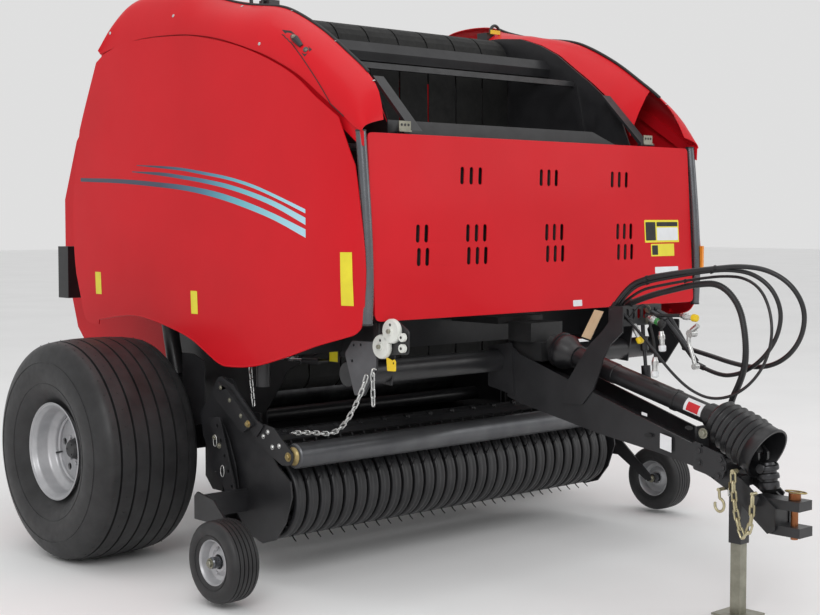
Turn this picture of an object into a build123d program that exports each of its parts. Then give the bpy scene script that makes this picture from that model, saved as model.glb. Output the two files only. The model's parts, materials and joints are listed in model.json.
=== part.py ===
"""Round baler, parked on its two wheels and its tongue jack.

Frame: millimetres, +Z up, the tongue points towards -Y, +X is the machine's
left-hand side.  The origin is on the floor under the middle of the machine.
Tables of (y, z) points are measured from the wheel axle line and are shifted
by AXLE_Y when they are drawn.
"""
from build123d import *
from math import sin, cos, tan, radians, hypot, atan2, degrees
import os

os.makedirs("parts", exist_ok=True)

# ---------------------------------------------------------------- dimensions
AXLE_Y = 875.0            # axle line in the model's frame
WHEEL_Z = 517.5           # axle height: half the tyre's outside diameter
TYRE_W = 546.0            # section width of the flotation tyre
TYRE_X = 1330.0           # tyre mid-plane from the centre line
RIM_R = 204.5             # bead seat radius
SPINDLE_R = 35.0
FIT = 0.05                # radial clearance of a shaft in its hole

SHEET_X = 790.0           # middle of the chamber's side sheets
SHEET_T = 8.0
SHIELD_X = 1120.0         # outer face of the side shields
SHIELD_T = 5.0
PANEL_W = 2112.0          # front panel width
PANEL_T = 5.0

HINGE = (-200.0, 2400.0)        # tailgate pivot (y, z)
LIFT = (-560.0, 640.0)          # pickup pivot
REEL = (-965.0, 380.0)          # pickup reel axis
BAND_R = 195.0                  # outside of the stripper bands
TINE_R = 227.0                  # tine tips
GUARD = (-690.0, 850.0)         # wind guard pivot
ROLLER = (-1172.0, 580.0)       # wind guard roller axis
ROLLER_R = 54.0
GAUGE = (-1185.0, 190.0)        # gauge wheel axle
GAUGE_X = 1447.0
GAUGE_R = 172.0
GAUGE_W = 140.0
PANEL_TOP = (-1640.0, 1950.0)   # front panel hinge line
PANEL_LOW = (-1688.0, 1178.0)
JACK_Y = -2700.0
PIN_Y = -2956.0                 # hitch pin
PIN_R = 14.5
TUBE = ((-1775.0, 1004.0), (-2600.0, 786.0))      # driveline guard axis
MOUTH = (-2830.0, 668.0)                          # open end of the bellows
YOKE = ((-2828.0, 632.0), (-2842.0, 532.0))       # hanging yoke, top and lower end
SIDES = (("left", 1), ("right", -1))


# ------------------------------------------------------------------- helpers
def block(x0, x1, y0, y1, z0, z1, mode=Mode.ADD):
    with Locations(((x0 + x1) / 2, AXLE_Y + (y0 + y1) / 2, (z0 + z1) / 2)):
        Box(abs(x1 - x0), abs(y1 - y0), abs(z1 - z0), mode=mode)


def bar_x(r, x0, x1, y, z, mode=Mode.ADD):
    with Locations(Location(((x0 + x1) / 2, AXLE_Y + y, z), (0, 90, 0))):
        Cylinder(r, abs(x1 - x0), mode=mode)


def bar(p, q, r, mode=Mode.ADD):
    a = Vector(p[0], p[1] + AXLE_Y, p[2])
    b = Vector(q[0], q[1] + AXLE_Y, q[2])
    with BuildSketch(Plane(origin=a, z_dir=b - a)) as section:
        Circle(r)
    extrude(section.sketch, amount=(b - a).length, mode=mode)


def plate_x(points, x0, x1, mode=Mode.ADD):
    with BuildSketch(Plane.YZ.offset(min(x0, x1))) as outline:
        with BuildLine():
            Polyline(*[(y + AXLE_Y, z) for y, z in points], close=True)
        make_face()
    extrude(outline.sketch, amount=abs(x1 - x0), mode=mode)


def save(builder, name):
    builder.part.label = name
    export_step(builder.part, "parts/%s.step" % name)


def turned(p, centre, angle):
    """Point p turned about centre by angle degrees in the (y, z) plane."""
    y, z = p[0] - centre[0], p[1] - centre[1]
    c, s = cos(radians(angle)), sin(radians(angle))
    return (centre[0] + y * c - z * s, centre[1] + y * s + z * c)


# -------------------------------------------------------------------- wheels
TYRE_OUT = [(-204, 208), (-212, 232), (-256, 290), (-273, 345), (-268, 405),
            (-250, 462), (-226, 497), (-150, 512), (0, 517.5)]
TYRE_IN = [(0, 488), (-150, 484), (-212, 470), (-232, 440), (-248, 400),
           (-253, 345), (-238, 298), (-197, 245), (-182, 208)]

for side, s in SIDES:
    half = TYRE_OUT + TYRE_IN
    ring = [(s * TYRE_X + x, r) for x, r in TYRE_OUT]
    ring += [(s * TYRE_X - x, r) for x, r in reversed(TYRE_OUT[:-1])]
    ring += [(s * TYRE_X - x, r) for x, r in reversed(TYRE_IN[1:])]
    ring += [(s * TYRE_X + x, r) for x, r in TYRE_IN]
    with BuildPart() as tyre:
        with BuildSketch(Plane(origin=(0, AXLE_Y, WHEEL_Z), x_dir=(1, 0, 0), z_dir=(0, -1, 0))):
            with BuildLine():
                Polyline(*ring, close=True)
            make_face()
        revolve(axis=Axis((0, AXLE_Y, WHEEL_Z), (1, 0, 0)))
    save(tyre, "tyre_" + side)

    # one-piece wheel: drop-centre barrel, dished disc on its outer side, hub
    barrel = [(-232, 226), (-226, 226), (-222, 206), (-150, 203), (-120, 170), (120, 170),
              (150, 203), (222, 206), (226, 226), (232, 226), (228, 200), (152, 197),
              (124, 164), (-124, 164), (-152, 197), (-228, 200)]
    with BuildPart() as rim:
        with BuildSketch(Plane(origin=(s * TYRE_X, AXLE_Y, WHEEL_Z), x_dir=(s, 0, 0), z_dir=(0, -s, 0))):
            with BuildLine():
                Polyline(*barrel, close=True)
            make_face()
            with BuildLine():
                Polyline((60, 165), (72, 165), (108, 110), (108, 62), (135, 58), (135, 46),
                         (60, 46), (60, SPINDLE_R + FIT), (-80, SPINDLE_R + FIT), (-80, 62),
                         (96, 62), (96, 104), close=True)
            make_face()
        revolve(axis=Axis((0, AXLE_Y, WHEEL_Z), (1, 0, 0)))
        # hand holes in the disc
        for k in range(8):
            ang = radians(45 * k + 22.5)
            y, z = 128 * cos(ang), 128 * sin(ang)
            bar_x(13, s * TYRE_X + s * 60, s * TYRE_X + s * 115, y, WHEEL_Z + z, mode=Mode.SUBTRACT)
    save(rim, "rim_" + side)

# ---------------------------------------------------------------------- axle
with BuildPart() as axle:
    block(-1010, 1010, -60, 60, WHEEL_Z - 60, WHEEL_Z + 60)
    block(-1020, 1020, -50, 50, WHEEL_Z - 50, WHEEL_Z + 50, mode=Mode.SUBTRACT)
    for s in (-1, 1):
        block(s * 1000, s * 1012, -60, 60, WHEEL_Z - 60, WHEEL_Z + 60)
        bar_x(SPINDLE_R, s * 1005, s * (TYRE_X + 55), 0, WHEEL_Z)
        bar_x(SPINDLE_R + 14, s * 1010, s * 1060, 0, WHEEL_Z)
save(axle, "axle")

# ------------------------------------------------- chamber front and chassis
FRONT_SHEET = [(140, 580), (-120, 580), (-120, 330), (-180, 270), (-440, 270), (-500, 330), (-500, 585),
               (-620, 590), (-620, 700), (-780, 900),
               (-1050, 1015), (-1260, 970), (-1350, 900), (-1490, 890), (-1540, 1180), (-1500, 1940), (-1440, 2080),
               (-1342, 2195), (-1235, 2280), (-1134, 2350), (-1016, 2435), (-895, 2495), (-757, 2540),
               (-600, 2555), (-430, 2555), (-300, 2440), (-180, 2440), (-150, 2330), (140, 800)]
# trough under the feed rotor, between the sheets
TROUGH = [(-500, 585), (-500, 330), (-440, 270), (-180, 270), (-120, 330), (-120, 580)]
OUTRIGGERS = [(-1500, 1890), (-1490, 1230), (-900, 2230), (-330, 2390), (-330, 1190), (-1120, 1060)]

with BuildPart() as chamber_front:
    for s in (-1, 1):
        plate_x(FRONT_SHEET, s * SHEET_X - SHEET_T / 2, s * SHEET_X + SHEET_T / 2)
        # tailgate hinge pin, outboard of the sheet
        bar_x(25, s * 780, s * 836, *HINGE)
        # cylinder base pin
        bar_x(20, s * 790, s * 856, -20, 800)
        # pickup pivot stubs
        bar_x(30, s * 786, s * 815, *LIFT)
        for y, z in OUTRIGGERS:
            bar_x(16, s * 790, s * 1078, y, z)
        # hanging end brackets of the front cross tube
        plate_x([(-1444, 1037), (-1490, 1092), (-1640, 1097), (-1640, 980), (-1560, 870), (-1500, 867)],
                s * 1000, s * 1006)
        # side wall post in front of the wheel
        plate_x([(-330, 960), (-420, 930), (-420, 640), (-240, 600), (-240, 960)], s * 1000, s * 1006)
        bar_x(16, s * 790, s * 1004, -330, 700)
    # cross members
    for y, z, r in ((-1480, 1880, 30), (-1176, 1985, 24), (-420, 640, 35)):
        bar_x(r, -SHEET_X, SHEET_X, y, z)
    plate_x(TROUGH + [(y + (6 if y < -300 else -6), z + (6 if z < 300 else 0)) for y, z in reversed(TROUGH)], -SHEET_X, SHEET_X)
    for s in (-1, 1):
        bar_x(50, s * 112, s * 1004, -1450, 950)
    # bulkhead between the crop chamber and the wrapping compartment
    block(-SHEET_X, SHEET_X, -1180, -1172, 1010, 1985)
    block(-1060, 1060, -1170, -1080, 1015, 1105)
    # feet on the axle beam
    for s in (-1, 1):
        block(s * 780, s * 800, -60, 60, WHEEL_Z + 60, WHEEL_Z + 80)
save(chamber_front, "chamber_front")

# ------------------------------------------------------ tongue and hitch end
TONGUE = [(-1510, 1035), (-1589, 986), (-1869, 897), (-2366, 742), (-2579, 678), (-2640, 655), (-2640, 560),
          (-2537, 599), (-2379, 630), (-2060, 675), (-1590, 765), (-1510, 790)]
NOSE = [(-2600, 640), (-2712, 600), (-2776, 570), (-2853, 508), (-2835, 467), (-2778, 475), (-2722, 513), (-2600, 575)]
with BuildPart() as tongue:
    # two deep side plates with a floor and a low cover, open above the driveline
    for s in (-1, 1):
        plate_x(TONGUE, s * 100, s * 92)
        plate_x(NOSE, s * 92, s * 84)
        # bolted flange on the cross tube
        plate_x([(-1400, 1010), (-1540, 1036), (-1560, 800), (-1400, 830)], s * 100, s * 112)
    with BuildSketch(Plane.YZ.offset(-92)) as web:
        with BuildLine():
            Polyline(*[(y + AXLE_Y, z) for y, z in ((-1510, 950), (-1590, 926), (-1869, 837), (-2366, 682), (-2579, 618), (-2579, 612),
                       (-2366, 676), (-1869, 831), (-1590, 920), (-1510, 944))], close=True)
        make_face()
    extrude(web.sketch, amount=184)
    with BuildSketch(Plane.YZ.offset(-92)) as floor:
        with BuildLine():
            Polyline(*[(y + AXLE_Y, z) for y, z in ((-1510, 796), (-1590, 771), (-2060, 681), (-2379, 636), (-2537, 605), (-2537, 599),
                       (-2379, 630), (-2060, 675), (-1590, 765), (-1510, 790))], close=True)
        make_face()
    extrude(floor.sketch, amount=184)
    block(-92, 92, -1516, -1504, 790, 1035)
    block(-84, 84, -2650, -2640, 575, 610)
    # saddle that carries the front of the driveline guard
    block(-40, 40, -2520, -2508, 632, 750)
save(tongue, "tongue")

with BuildPart() as hitch_clevis:
    # forged upper and lower forks joined by a back block and cheeks
    block(-45, 45, -3005, -2790, 467, 505)
    block(-45, 45, -3008, -2860, 365, 403)
    block(-45, 45, -2900, -2860, 403, 467)
    for s in (-1, 1):
        plate_x([(-2740, 480), (-2840, 515), (-2905, 472), (-2905, 385), (-2870, 365), (-2800, 420), (-2740, 470)], s * 45, s * 57)
    block(-84, 84, -2842, -2812, 472, 500)
    with Locations((0, AXLE_Y + PIN_Y, 435)):
        Cylinder(PIN_R + 0.3, 200, mode=Mode.SUBTRACT)
save(hitch_clevis, "hitch_clevis")

with BuildPart() as hitch_pin:
    with Locations((0, AXLE_Y + PIN_Y, 431)):
        Cylinder(PIN_R, 164)
    with Locations((0, AXLE_Y + PIN_Y, 519)):
        Cylinder(24, 26)
save(hitch_pin, "hitch_pin")

# ---------------------------------------------------------------------- jack
with BuildPart() as jack_tube:
    block(-29, 29, JACK_Y - 29, JACK_Y + 29, 295, 570)
    block(-24, 24, JACK_Y - 24, JACK_Y + 24, 290, 564, mode=Mode.SUBTRACT)
    # welded ears that join the tube to the nose plates
    for s in (-1, 1):
        block(s * 29, s * 84, JACK_Y - 6, JACK_Y + 6, 520, 566)
save(jack_tube, "jack_tube")

with BuildPart() as jack_leg:
    block(-23, 23, JACK_Y - 23, JACK_Y + 23, 8, 365)
    block(-18, 18, JACK_Y - 18, JACK_Y + 18, 14, 370, mode=Mode.SUBTRACT)
    block(-76, 76, JACK_Y - 76, JACK_Y + 76, 0, 9)
save(jack_leg, "jack_leg")

# ----------------------------------------------------------------- roof caps
# stations: y, seam height, crest height, crest x
CAP = [(300, 2412, 2445, 1085), (200, 2424, 2545, 1070), (80, 2440, 2636, 1040), (-100, 2452, 2662, 1010),
       (-340, 2447, 2652, 983), (-712, 2396, 2552, 965), (-1087, 2281, 2473, 965), (-1417, 2104, 2284, 965),
       (-1540, 2026, 2195, 965), (-1620, 1975, 2110, 975), (-1668, 1955, 2020, 995)]

with BuildPart() as roof_caps:
    for s in (-1, 1):
        for (ya, sa, ca, xa), (yb, sb, cb, xb) in zip(CAP, CAP[1:]):
            for y, zs, zc, xc in ((ya, sa, ca, xa), (yb, sb, cb, xb)):
                with BuildSketch(Plane(origin=(0, AXLE_Y + y, 0), x_dir=(1, 0, 0), z_dir=(0, -1, 0))):
                    with BuildLine():
                        Polyline((s * 1112, zs), (s * 1108, zs + 0.45 * (zc - zs)),
                                 (s * (0.35 * xc + 0.65 * 1100), zs + 0.85 * (zc - zs)), (s * xc, zc),
                                 (s * xc, zc - 6), (s * (0.35 * xc + 0.65 * 1100 - 5), zs + 0.85 * (zc - zs) - 5),
                                 (s * 1102, zs + 0.45 * (zc - zs)), (s * 1106, zs), close=True)
                    make_face()
            loft(ruled=True)
save(roof_caps, "roof_caps")

# -------------------------------------------------- side shields (swing out)
SHIELD = [(484, 2041), (541, 1736), (556, 1528), (530, 1250), (463, 1084), (400, 1071), (333, 1071), (323, 1096),
          (27, 1131), (-209, 1109), (-445, 1057), (-576, 1001), (-685, 949), (-776, 940),
          (-961, 958), (-1177, 1011), (-1382, 1071), (-1560, 1116), (-1620, 1140), (-1640, 1180),
          (-1645, 1250), (-1632, 1465), (-1590, 1920), (-1528, 1992), (-1349, 2098),
          (-1135, 2212), (-902, 2305), (-579, 2383), (-356, 2421), (-42, 2421),
          (243, 2378), (323, 2340)]
for side, s in SIDES:
    with BuildPart() as shield:
        with BuildSketch(Plane(origin=(0, AXLE_Y + 700, 0), x_dir=(1, 0, 0), z_dir=(0, -1, 0))):
            with BuildLine():
                outer = [(s * x, z) for x, z in ((1118, 2440), (1130, 2100), (1136, 1750), (1130, 1400), (1116, 1150), (1100, 930))]
                inner = [(x - s * SHIELD_T, z) for x, z in reversed(outer)]
                Polyline(*(outer + inner), close=True)
            make_face()
        extrude(amount=2500)
        plate_x(SHIELD, s * 1080, s * 1150, mode=Mode.INTERSECT)
    save(shield, "side_shield_" + side)

# ----------------------------------------------------------------- trim bars
with BuildPart() as trim_bars:
    for s in (-1, 1):
        plate_x([(-1692, 1172), (-1684, 1560), (-1654, 1950), (-1616, 1950), (-1646, 1560), (-1654, 1172)], s * 1072, s * 1108)
        block(s * 1078, s * 1092, -1660, -1480, 1222, 1238)
        block(s * 1078, s * 1092, -1636, -1490, 1882, 1898)
save(trim_bars, "trim_bars")

# --------------------------------------------------------------- front panel
dy, dz = PANEL_LOW[0] - PANEL_TOP[0], PANEL_LOW[1] - PANEL_TOP[1]
PANEL_H = hypot(dy, dz)
panel_plane = Plane(origin=(0, AXLE_Y + PANEL_TOP[0], PANEL_TOP[1]), x_dir=(1, 0, 0),
                    z_dir=Vector(0, dz / PANEL_H, -dy / PANEL_H))
# vent slots: x across, depth below the hinge line
SLOTS = [(x, 170) for x in (-530, -475, -421, -31, 20, 70, 465, 517, 569)]
SLOTS += [(x, d) for d in (415, 512) for x in (-802, -754, -510, -458, -407, -9, 42, 92, 490, 539, 587)]
with BuildPart() as front_panel:
    with BuildSketch(panel_plane) as face:
        with Locations((0, -PANEL_H / 2)):
            RectangleRounded(PANEL_W, PANEL_H - 12, 22)
        with Locations(*[(x, -d) for x, d in SLOTS]):
            SlotOverall(76, 22, rotation=84, mode=Mode.SUBTRACT)
    extrude(face.sketch, amount=-PANEL_T)
    # folded lower edge
    with BuildSketch(panel_plane) as lip:
        with Locations((0, -PANEL_H + 12)):
            Rectangle(PANEL_W - 60, 6)
    extrude(lip.sketch, amount=-28)
save(front_panel, "front_panel")

# ---------------------------------------------------------------- top gutter
INNER_X = SHEET_X - SHEET_T / 2          # inner faces of the side sheets
GUTTER = (-870.0, 600.0, 1951.0, 2006.0)  # ends across, bottom and top
RAIL = (-1127.0, 2280.0, 13.0)            # square rail under the beam: y, z, half size
BEAM = [(-860, 2410), (-935, 2412), (-966, 2365), (-955, 2325), (-927, 2314), (-860, 2314)]
with BuildPart() as top_gutter:
    x0, x1, z0, z1 = GUTTER
    with BuildSketch(Plane(origin=(0, AXLE_Y - 1550, 0), x_dir=(1, 0, 0), z_dir=(0, -1, 0))) as face:
        with BuildLine():
            Polyline((x0, z0), (x1, z0), (x1 - 170, z1), (x0, z1), close=True)
        make_face()
    extrude(face.sketch, amount=5)
    block(x0, x1, -1552, -1500, z0, z0 + 5)
    for s in (-1, 1):
        # flat arm from the side sheet down to the panel hinge
        plate_x([(-1368, 2206), (-1374, 2200), (-1612, 1962), (-1612, 1951), (-1601, 1951), (-1362, 2199)], s * (INNER_X - 60), s * INNER_X)
        block(s * (INNER_X - 8), s * (INNER_X + 44), -1612, -1548, 1951, 1959)
        # flat arm that hangs from the rail's end
        plate_x([(-1102, 2280), (-1112, 2298), (-1142, 2298), (-1152, 2280), (-1206, 2034), (-1174, 2034)], s * (INNER_X - 8), s * INNER_X)
    block(-INNER_X, INNER_X, RAIL[0] - RAIL[2], RAIL[0] + RAIL[2], RAIL[1] - RAIL[2], RAIL[1] + RAIL[2])
    plate_x(BEAM, -INNER_X, INNER_X)
save(top_gutter, "top_gutter")


def wrap(rolls, gap, thick, first, last):
    """Closed outline of a belt that runs on the left of a chain of rollers."""
    normals = []
    for (ya, za, ra), (yb, zb, rb) in zip(rolls, rolls[1:]):
        d = hypot(yb - ya, zb - za)
        t = atan2(zb - za, yb - ya) + 1.5707963
        # outer tangent: its normal leans by the difference of the radii
        normals.append(t - 1.5707963 + (1.5707963 - (ra - rb) / d))
    starts = [radians(first)] + normals
    ends = normals + [radians(last)]
    inner, outer = [], []
    for (y, z, r), a0, a1 in zip(rolls, starts, ends):
        steps = max(1, int(abs(a1 - a0) / radians(15)) + 1)
        for k in range(steps + 1):
            a = a0 + (a1 - a0) * k / steps
            inner.append((y + (r + gap) * cos(a), z + (r + gap) * sin(a)))
            outer.append((y + (r + gap + thick) * cos(a), z + (r + gap + thick) * sin(a)))
    return inner + outer[::-1]


# ------------------------------------------------------------ front rollers
ROLLS_F = [(-600, 860, 70), (-606, 1300, 68), (-602, 2020, 68), (-540, 2417, 126)]
with BuildPart() as rollers_front:
    for y, z, r in ROLLS_F + [(-180, 720, 90)]:
        bar_x(r, -785, 785, y, z)
save(rollers_front, "rollers_front")

# --------------------------------------------------------------- front belts
BELT_W, BELT_GAP, BELT_N = 184.0, 11.0, 8
BELT_XS = [(k - (BELT_N - 1) / 2) * (BELT_W + BELT_GAP) for k in range(BELT_N)]
front_path = wrap(ROLLS_F, 2.5, 5, 250, 90)
with BuildPart() as belts_front:
    for x in BELT_XS:
        plate_x(front_path, x - BELT_W / 2, x + BELT_W / 2)
save(belts_front, "belts_front")

# ------------------------------------------------------------------ gearbox
with BuildPart() as gearbox:
    block(-105, 105, -1660, -1520, 1045, 1130)
    block(-80, 80, -1700, -1520, 960, 1045)
    block(-150, 150, -1500, -1200, 1120, 1150)
    bar((0, -1690, 1024), (0, -1722, 1018), 50)
save(gearbox, "gearbox")

# ---------------------------------------------------------------- driveline
ty, tz = TUBE[1][0] - TUBE[0][0], TUBE[1][1] - TUBE[0][1]
tl = hypot(ty, tz)
with BuildPart() as driveline:
    bar((0, -1742, 1013), (0, *TUBE[0]), 78)
    bar((0, *TUBE[0]), (0, *TUBE[1]), 43)
    # bellows over the joint, open at its mouth
    for r0, r1, inside in ((86, 108, Mode.ADD), (80, 102, Mode.SUBTRACT)):
        my, mz = MOUTH[0] - TUBE[1][0], MOUTH[1] - TUBE[1][1]
        ml = hypot(my, mz)
        k = 0 if inside == Mode.ADD else 8 / ml
        p0 = Vector(0, AXLE_Y + TUBE[1][0] + k * my, TUBE[1][1] + k * mz)
        p1 = Vector(0, AXLE_Y + MOUTH[0], MOUTH[1])
        with BuildSketch(Plane(origin=p0, z_dir=p1 - p0)) as a_end:
            Circle(r0)
        with BuildSketch(Plane(origin=p1, z_dir=p1 - p0)) as b_end:
            Circle(r1)
        loft([a_end.sketch.face(), b_end.sketch.face()], mode=inside)
    # shaft stub and inner yoke
    bar((0, TUBE[1][0] - 6, TUBE[1][1] - 2), (0, YOKE[0][0] + 62, YOKE[0][1] + 36), 24)
save(driveline, "driveline")

with BuildPart() as pto_yoke:
    bar((0, *YOKE[0]), (0, *YOKE[1]), 42)
    ya = Vector(0, YOKE[1][0] - YOKE[0][0], YOKE[1][1] - YOKE[0][1]).normalized()
    bar((0, YOKE[0][0] + 50 * ya.Y, YOKE[0][1] + 50 * ya.Z), (0, YOKE[1][0] + 10 * ya.Y, YOKE[1][1] + 10 * ya.Z), 17.4, mode=Mode.SUBTRACT)
    bar_x(16, -52, 52, YOKE[0][0] + 16 * ya.Y, YOKE[0][1] + 16 * ya.Z)
save(pto_yoke, "pto_yoke")

# routes of the hoses, x, y, z from the manifold to the far fitting
OUTER = [(-84, -2126, 1238), (-76, -2183, 1315), (-70, -2283, 1353), (-64, -2389, 1371), (-56, -2496, 1386),
         (-39, -2602, 1399), (-12, -2705, 1410), (20, -2807, 1397), (50, -2894, 1343), (75, -2942, 1251),
         (91, -2927, 1147), (101, -2865, 1060), (110, -2773, 1006), (121, -2667, 992), (131, -2560, 1003),
         (141, -2453, 1024), (150, -2346, 1042)]
MIDDLE = [(-58, -2126, 1238), (-52, -2180, 1305), (-44, -2271, 1336), (-38, -2366, 1354), (-31, -2461, 1371),
          (-21, -2556, 1386), (-6, -2652, 1394), (13, -2745, 1380), (33, -2820, 1324), (50, -2853, 1236),
          (63, -2833, 1144), (73, -2779, 1064), (83, -2706, 1001), (92, -2619, 960), (104, -2524, 948),
          (120, -2434, 973)]
THIN = [(-34, -2126, 1238), (-32, -2204, 1294), (-22, -2305, 1318), (-10, -2407, 1338), (0, -2510, 1355),
        (2, -2614, 1367), (-9, -2718, 1364), (-28, -2810, 1322), (-47, -2867, 1237), (-62, -2886, 1136),
        (-73, -2863, 1035), (-78, -2802, 951), (-81, -2715, 893), (-81, -2613, 873), (-80, -2513, 901),
        (-79, -2426, 959), (-77, -2347, 1028), (-73, -2268, 1102), (-66, -2185, 1166)]
SLEEVE = [(4, -2146, 1240), (5, -2238, 1274), (0, -2359, 1302), (-6, -2481, 1329), (-10, -2604, 1338),
          (-7, -2693, 1258), (3, -2718, 1137), (32, -2702, 1018), (82, -2638, 925), (125, -2562, 836),
          (124, -2545, 716)]
HOSES = (("hose_outer", 20.0, OUTER), ("hose_middle", 18.0, MIDDLE), ("hose_thin", 12.0, THIN),
         ("hose_sleeve", 27.0, SLEEVE))

# -------------------------------------------------------------- hose holder
with BuildPart() as hose_holder:
    # curved arm bolted to the tongue's side plate
    plate_x([(-1846, 843), (-1853, 788), (-1965, 795), (-2028, 868), (-2060, 940), (-2078, 1000), (-2120, 1065), (-2183, 1119),
             (-2185, 1228), (-2126, 1228), (-2120, 1174), (-2075, 1120), (-2007, 1060), (-1937, 970), (-1892, 907)], -110, -102)
    # perforated coupler rail
    with BuildSketch(Plane(origin=(-102, AXLE_Y - 2135, 1183), x_dir=(1, 0, 0), z_dir=(0, -1, 0))) as rail:
        with Locations((155, 0)):
            Rectangle(310, 88)
        with Locations(*[(36 + 40 * k, 8) for k in range(7)]):
            SlotOverall(44, 22, rotation=90, mode=Mode.SUBTRACT)
    extrude(rail.sketch, amount=6)
    block(-102, 208, -2141, -2105, 1221, 1227)
    # manifold behind the rail, with a ferrule under each hose
    block(-98, 24, -2135, -2098, 1165, 1221)
    for _, dia, route in HOSES:
        p, q = Vector(*route[0]), Vector(*route[1])
        back = (p - q).normalized() * 34
        bar(tuple(p + back), tuple(p), dia / 2 + 3)
    # gland on the tongue for the sleeve's lower end
    p, q = Vector(*SLEEVE[-1]), Vector(*SLEEVE[-2])
    bar(tuple(p), tuple(p + (p - q).normalized() * 60), 18)
    block(100, 124, -2560, -2520, 650, 680)
save(hose_holder, "hose_holder")


# ------------------------------------------------------------ hoses and cable
def hose(route, dia, name):
    """Tube of straight runs joined by tangent arcs, each arc 0.45 of its shorter run."""
    pts = [Vector(x, y + AXLE_Y, z) for x, y, z in route]
    radii = []
    for a, b, c in zip(pts, pts[1:], pts[2:]):
        turn = radians((b - a).get_angle(c - b))
        radii.append(0.45 * min((b - a).length, (c - b).length) / tan(turn / 2))
    with BuildPart() as tube:
        with BuildLine() as line:
            FilletPolyline(*pts, radius=radii)
        with BuildSketch(Plane(origin=pts[0], z_dir=pts[1] - pts[0])) as section:
            Circle(dia / 2)
        sweep(sections=section.sketch, path=line.wire())
    length = line.wire().length
    print("%s: length %.0f, tightest arc %.0f, volume / (section x length) %.4f"
          % (name, length, min(radii), tube.part.volume / (3.14159265 * dia * dia / 4 * length)))
    print("   radii " + " ".join("%.0f" % r for r in radii))
    save(tube, name)


for name, dia, route in HOSES:
    hose(route, dia, name)

# couplers plugged in the rail, the stop valve and the hanging plugs
with BuildPart() as coupler_set:
    # flange on the rail's face: x, z
    for x, z, r in ((-66, 1176, 13), (134, 1190, 15), (174, 1190, 15)):
        block(x - r, x + r, -2146, -2141, z - 22, z + 22)
    # chains of fittings: from, to, radius
    for p, q, r in (
            ((-66, -2144, 1184), (-66, -2166, 1177), 9),
            ((174, -2147, 1190), (172, -2215, 1166), 16), ((172, -2215, 1166), (163, -2262, 1112), 13),
            ((163, -2262, 1112), (155, -2312, 1052), 15),
            ((134, -2147, 1190), (134, -2225, 1158), 14), ((134, -2225, 1158), (129, -2310, 1078), 11),
            ((129, -2310, 1078), (125, -2392, 996), 12)):
        bar(p, q, r)
    for route, r in ((OUTER, 13), (MIDDLE, 12), (THIN, 9)):
        p, q = Vector(*route[-1]), Vector(*route[-2])
        bar(tuple(p), tuple(p + (p - q).normalized() * 42), r)
    # two plugs on a short stiff lead below the rail
    bar((84, -2138, 1139), (84, -2142, 1085), 9)
    bar((84, -2142, 1090), (84, -2150, 1030), 17)
    bar((84, -2148, 1035), (84, -2156, 960), 8)
    bar((84, -2156, 965), (84, -2162, 895), 20)
save(coupler_set, "coupler_set")

# ------------------------------------------------------- pickup lift linkage
with BuildPart() as lift_linkage:
    for s in (-1, 1):
        bar((s * 1000, -868, 850), (s * 1000, -868, 1014), 30)
        bar((s * 1000, -868, 850), (s * 1000, -868, 1014), 24, mode=Mode.SUBTRACT)
        bar((s * 1000, -868, 1000), (s * 1000, -868, 1030), 32)
        block(s * 992, s * 1008, -1080, -860, 1030, 1046)
save(lift_linkage, "lift_linkage")

# ------------------------------------------------------------------- pickup
SIDE_PLATE = [(-520, 600), (-500, 700), (-640, 880), (-750, 880), (-930, 640), (-1000, 610), (-1075, 530), (-1165, 470),
              (-1175, 404), (-1130, 285), (-1060, 200), (-968, 172), (-860, 200), (-640, 420)]
with BuildPart() as pickup_frame:
    for s in (-1, 1):
        plate_x(SIDE_PLATE, s * 1076, s * 1084)
        # pivot arms around the chassis stubs
        plate_x([(-520, 600), (-620, 600), (-620, 690), (-520, 690)], s * 820, s * 832)
        bar_x(24, s * 820, s * 1080, -575, 655)
        # upright with the height quadrant, outboard of the side plate
        plate_x([(-630, 700), (-700, 702), (-830, 380), (-815, 300), (-750, 300), (-745, 370)], s * 1116, s * 1124)
        bar_x(16, s * 1084, s * 1120, -700, 600)
        # carrier tube and plate in front of the gauge wheel
        bar_x(22, s * 1084, s * 1130, -800, 330)
        block(s * 1084, s * 1345, -860, -840, 300, 400)
        plate_x([(-840, 400), (-860, 420), (-980, 400), (-1200, 215), (-1200, 185), (-1170, 185), (-980, 300), (-840, 300)], s * 1345, s * 1355)
        bar_x(12, s * 1350, s * (GAUGE_X + 60), *GAUGE)
        # wind guard pivot pin
        bar_x(14, s * 1080, s * 1112, *GUARD)
    bar_x(40, -1080, 1080, -590, 480)
save(pickup_frame, "pickup_frame")

BANDS, PITCH = 30, 70.0
band_out, band_in = [], []
for k in range(13):
    a = radians(100 + 160 * k / 12)
    band_out.append((REEL[0] + BAND_R * cos(a), REEL[1] + BAND_R * sin(a)))
    band_in.append((REEL[0] + (BAND_R - 3) * cos(a), REEL[1] + (BAND_R - 3) * sin(a)))
top_tail = [(REEL[0] + 300, REEL[1] + BAND_R - 30), (REEL[0] + 300, REEL[1] + BAND_R - 33)]
low_tail = [(REEL[0] + 330, REEL[1] - 160), (REEL[0] + 330, REEL[1] - 163)]
with BuildPart() as stripper_bands:
    for k in range(BANDS):
        x = (k - (BANDS - 1) / 2) * PITCH
        plate_x([top_tail[0]] + band_out + [low_tail[1], low_tail[0]] + band_in[::-1] + [top_tail[1]], x - 28, x + 28)
    # closing sheet behind the reel
    plate_x([(-673, REEL[1] + BAND_R - 20), (-673, REEL[1] + BAND_R - 60), (-643, REEL[1] - 150), (-643, REEL[1] - 180),
             (-635, REEL[1] - 180), (-635, REEL[1] - 150), (-665, REEL[1] + BAND_R - 60), (-665, REEL[1] + BAND_R - 20)], -1074, 1074)
save(stripper_bands, "stripper_bands")

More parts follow.
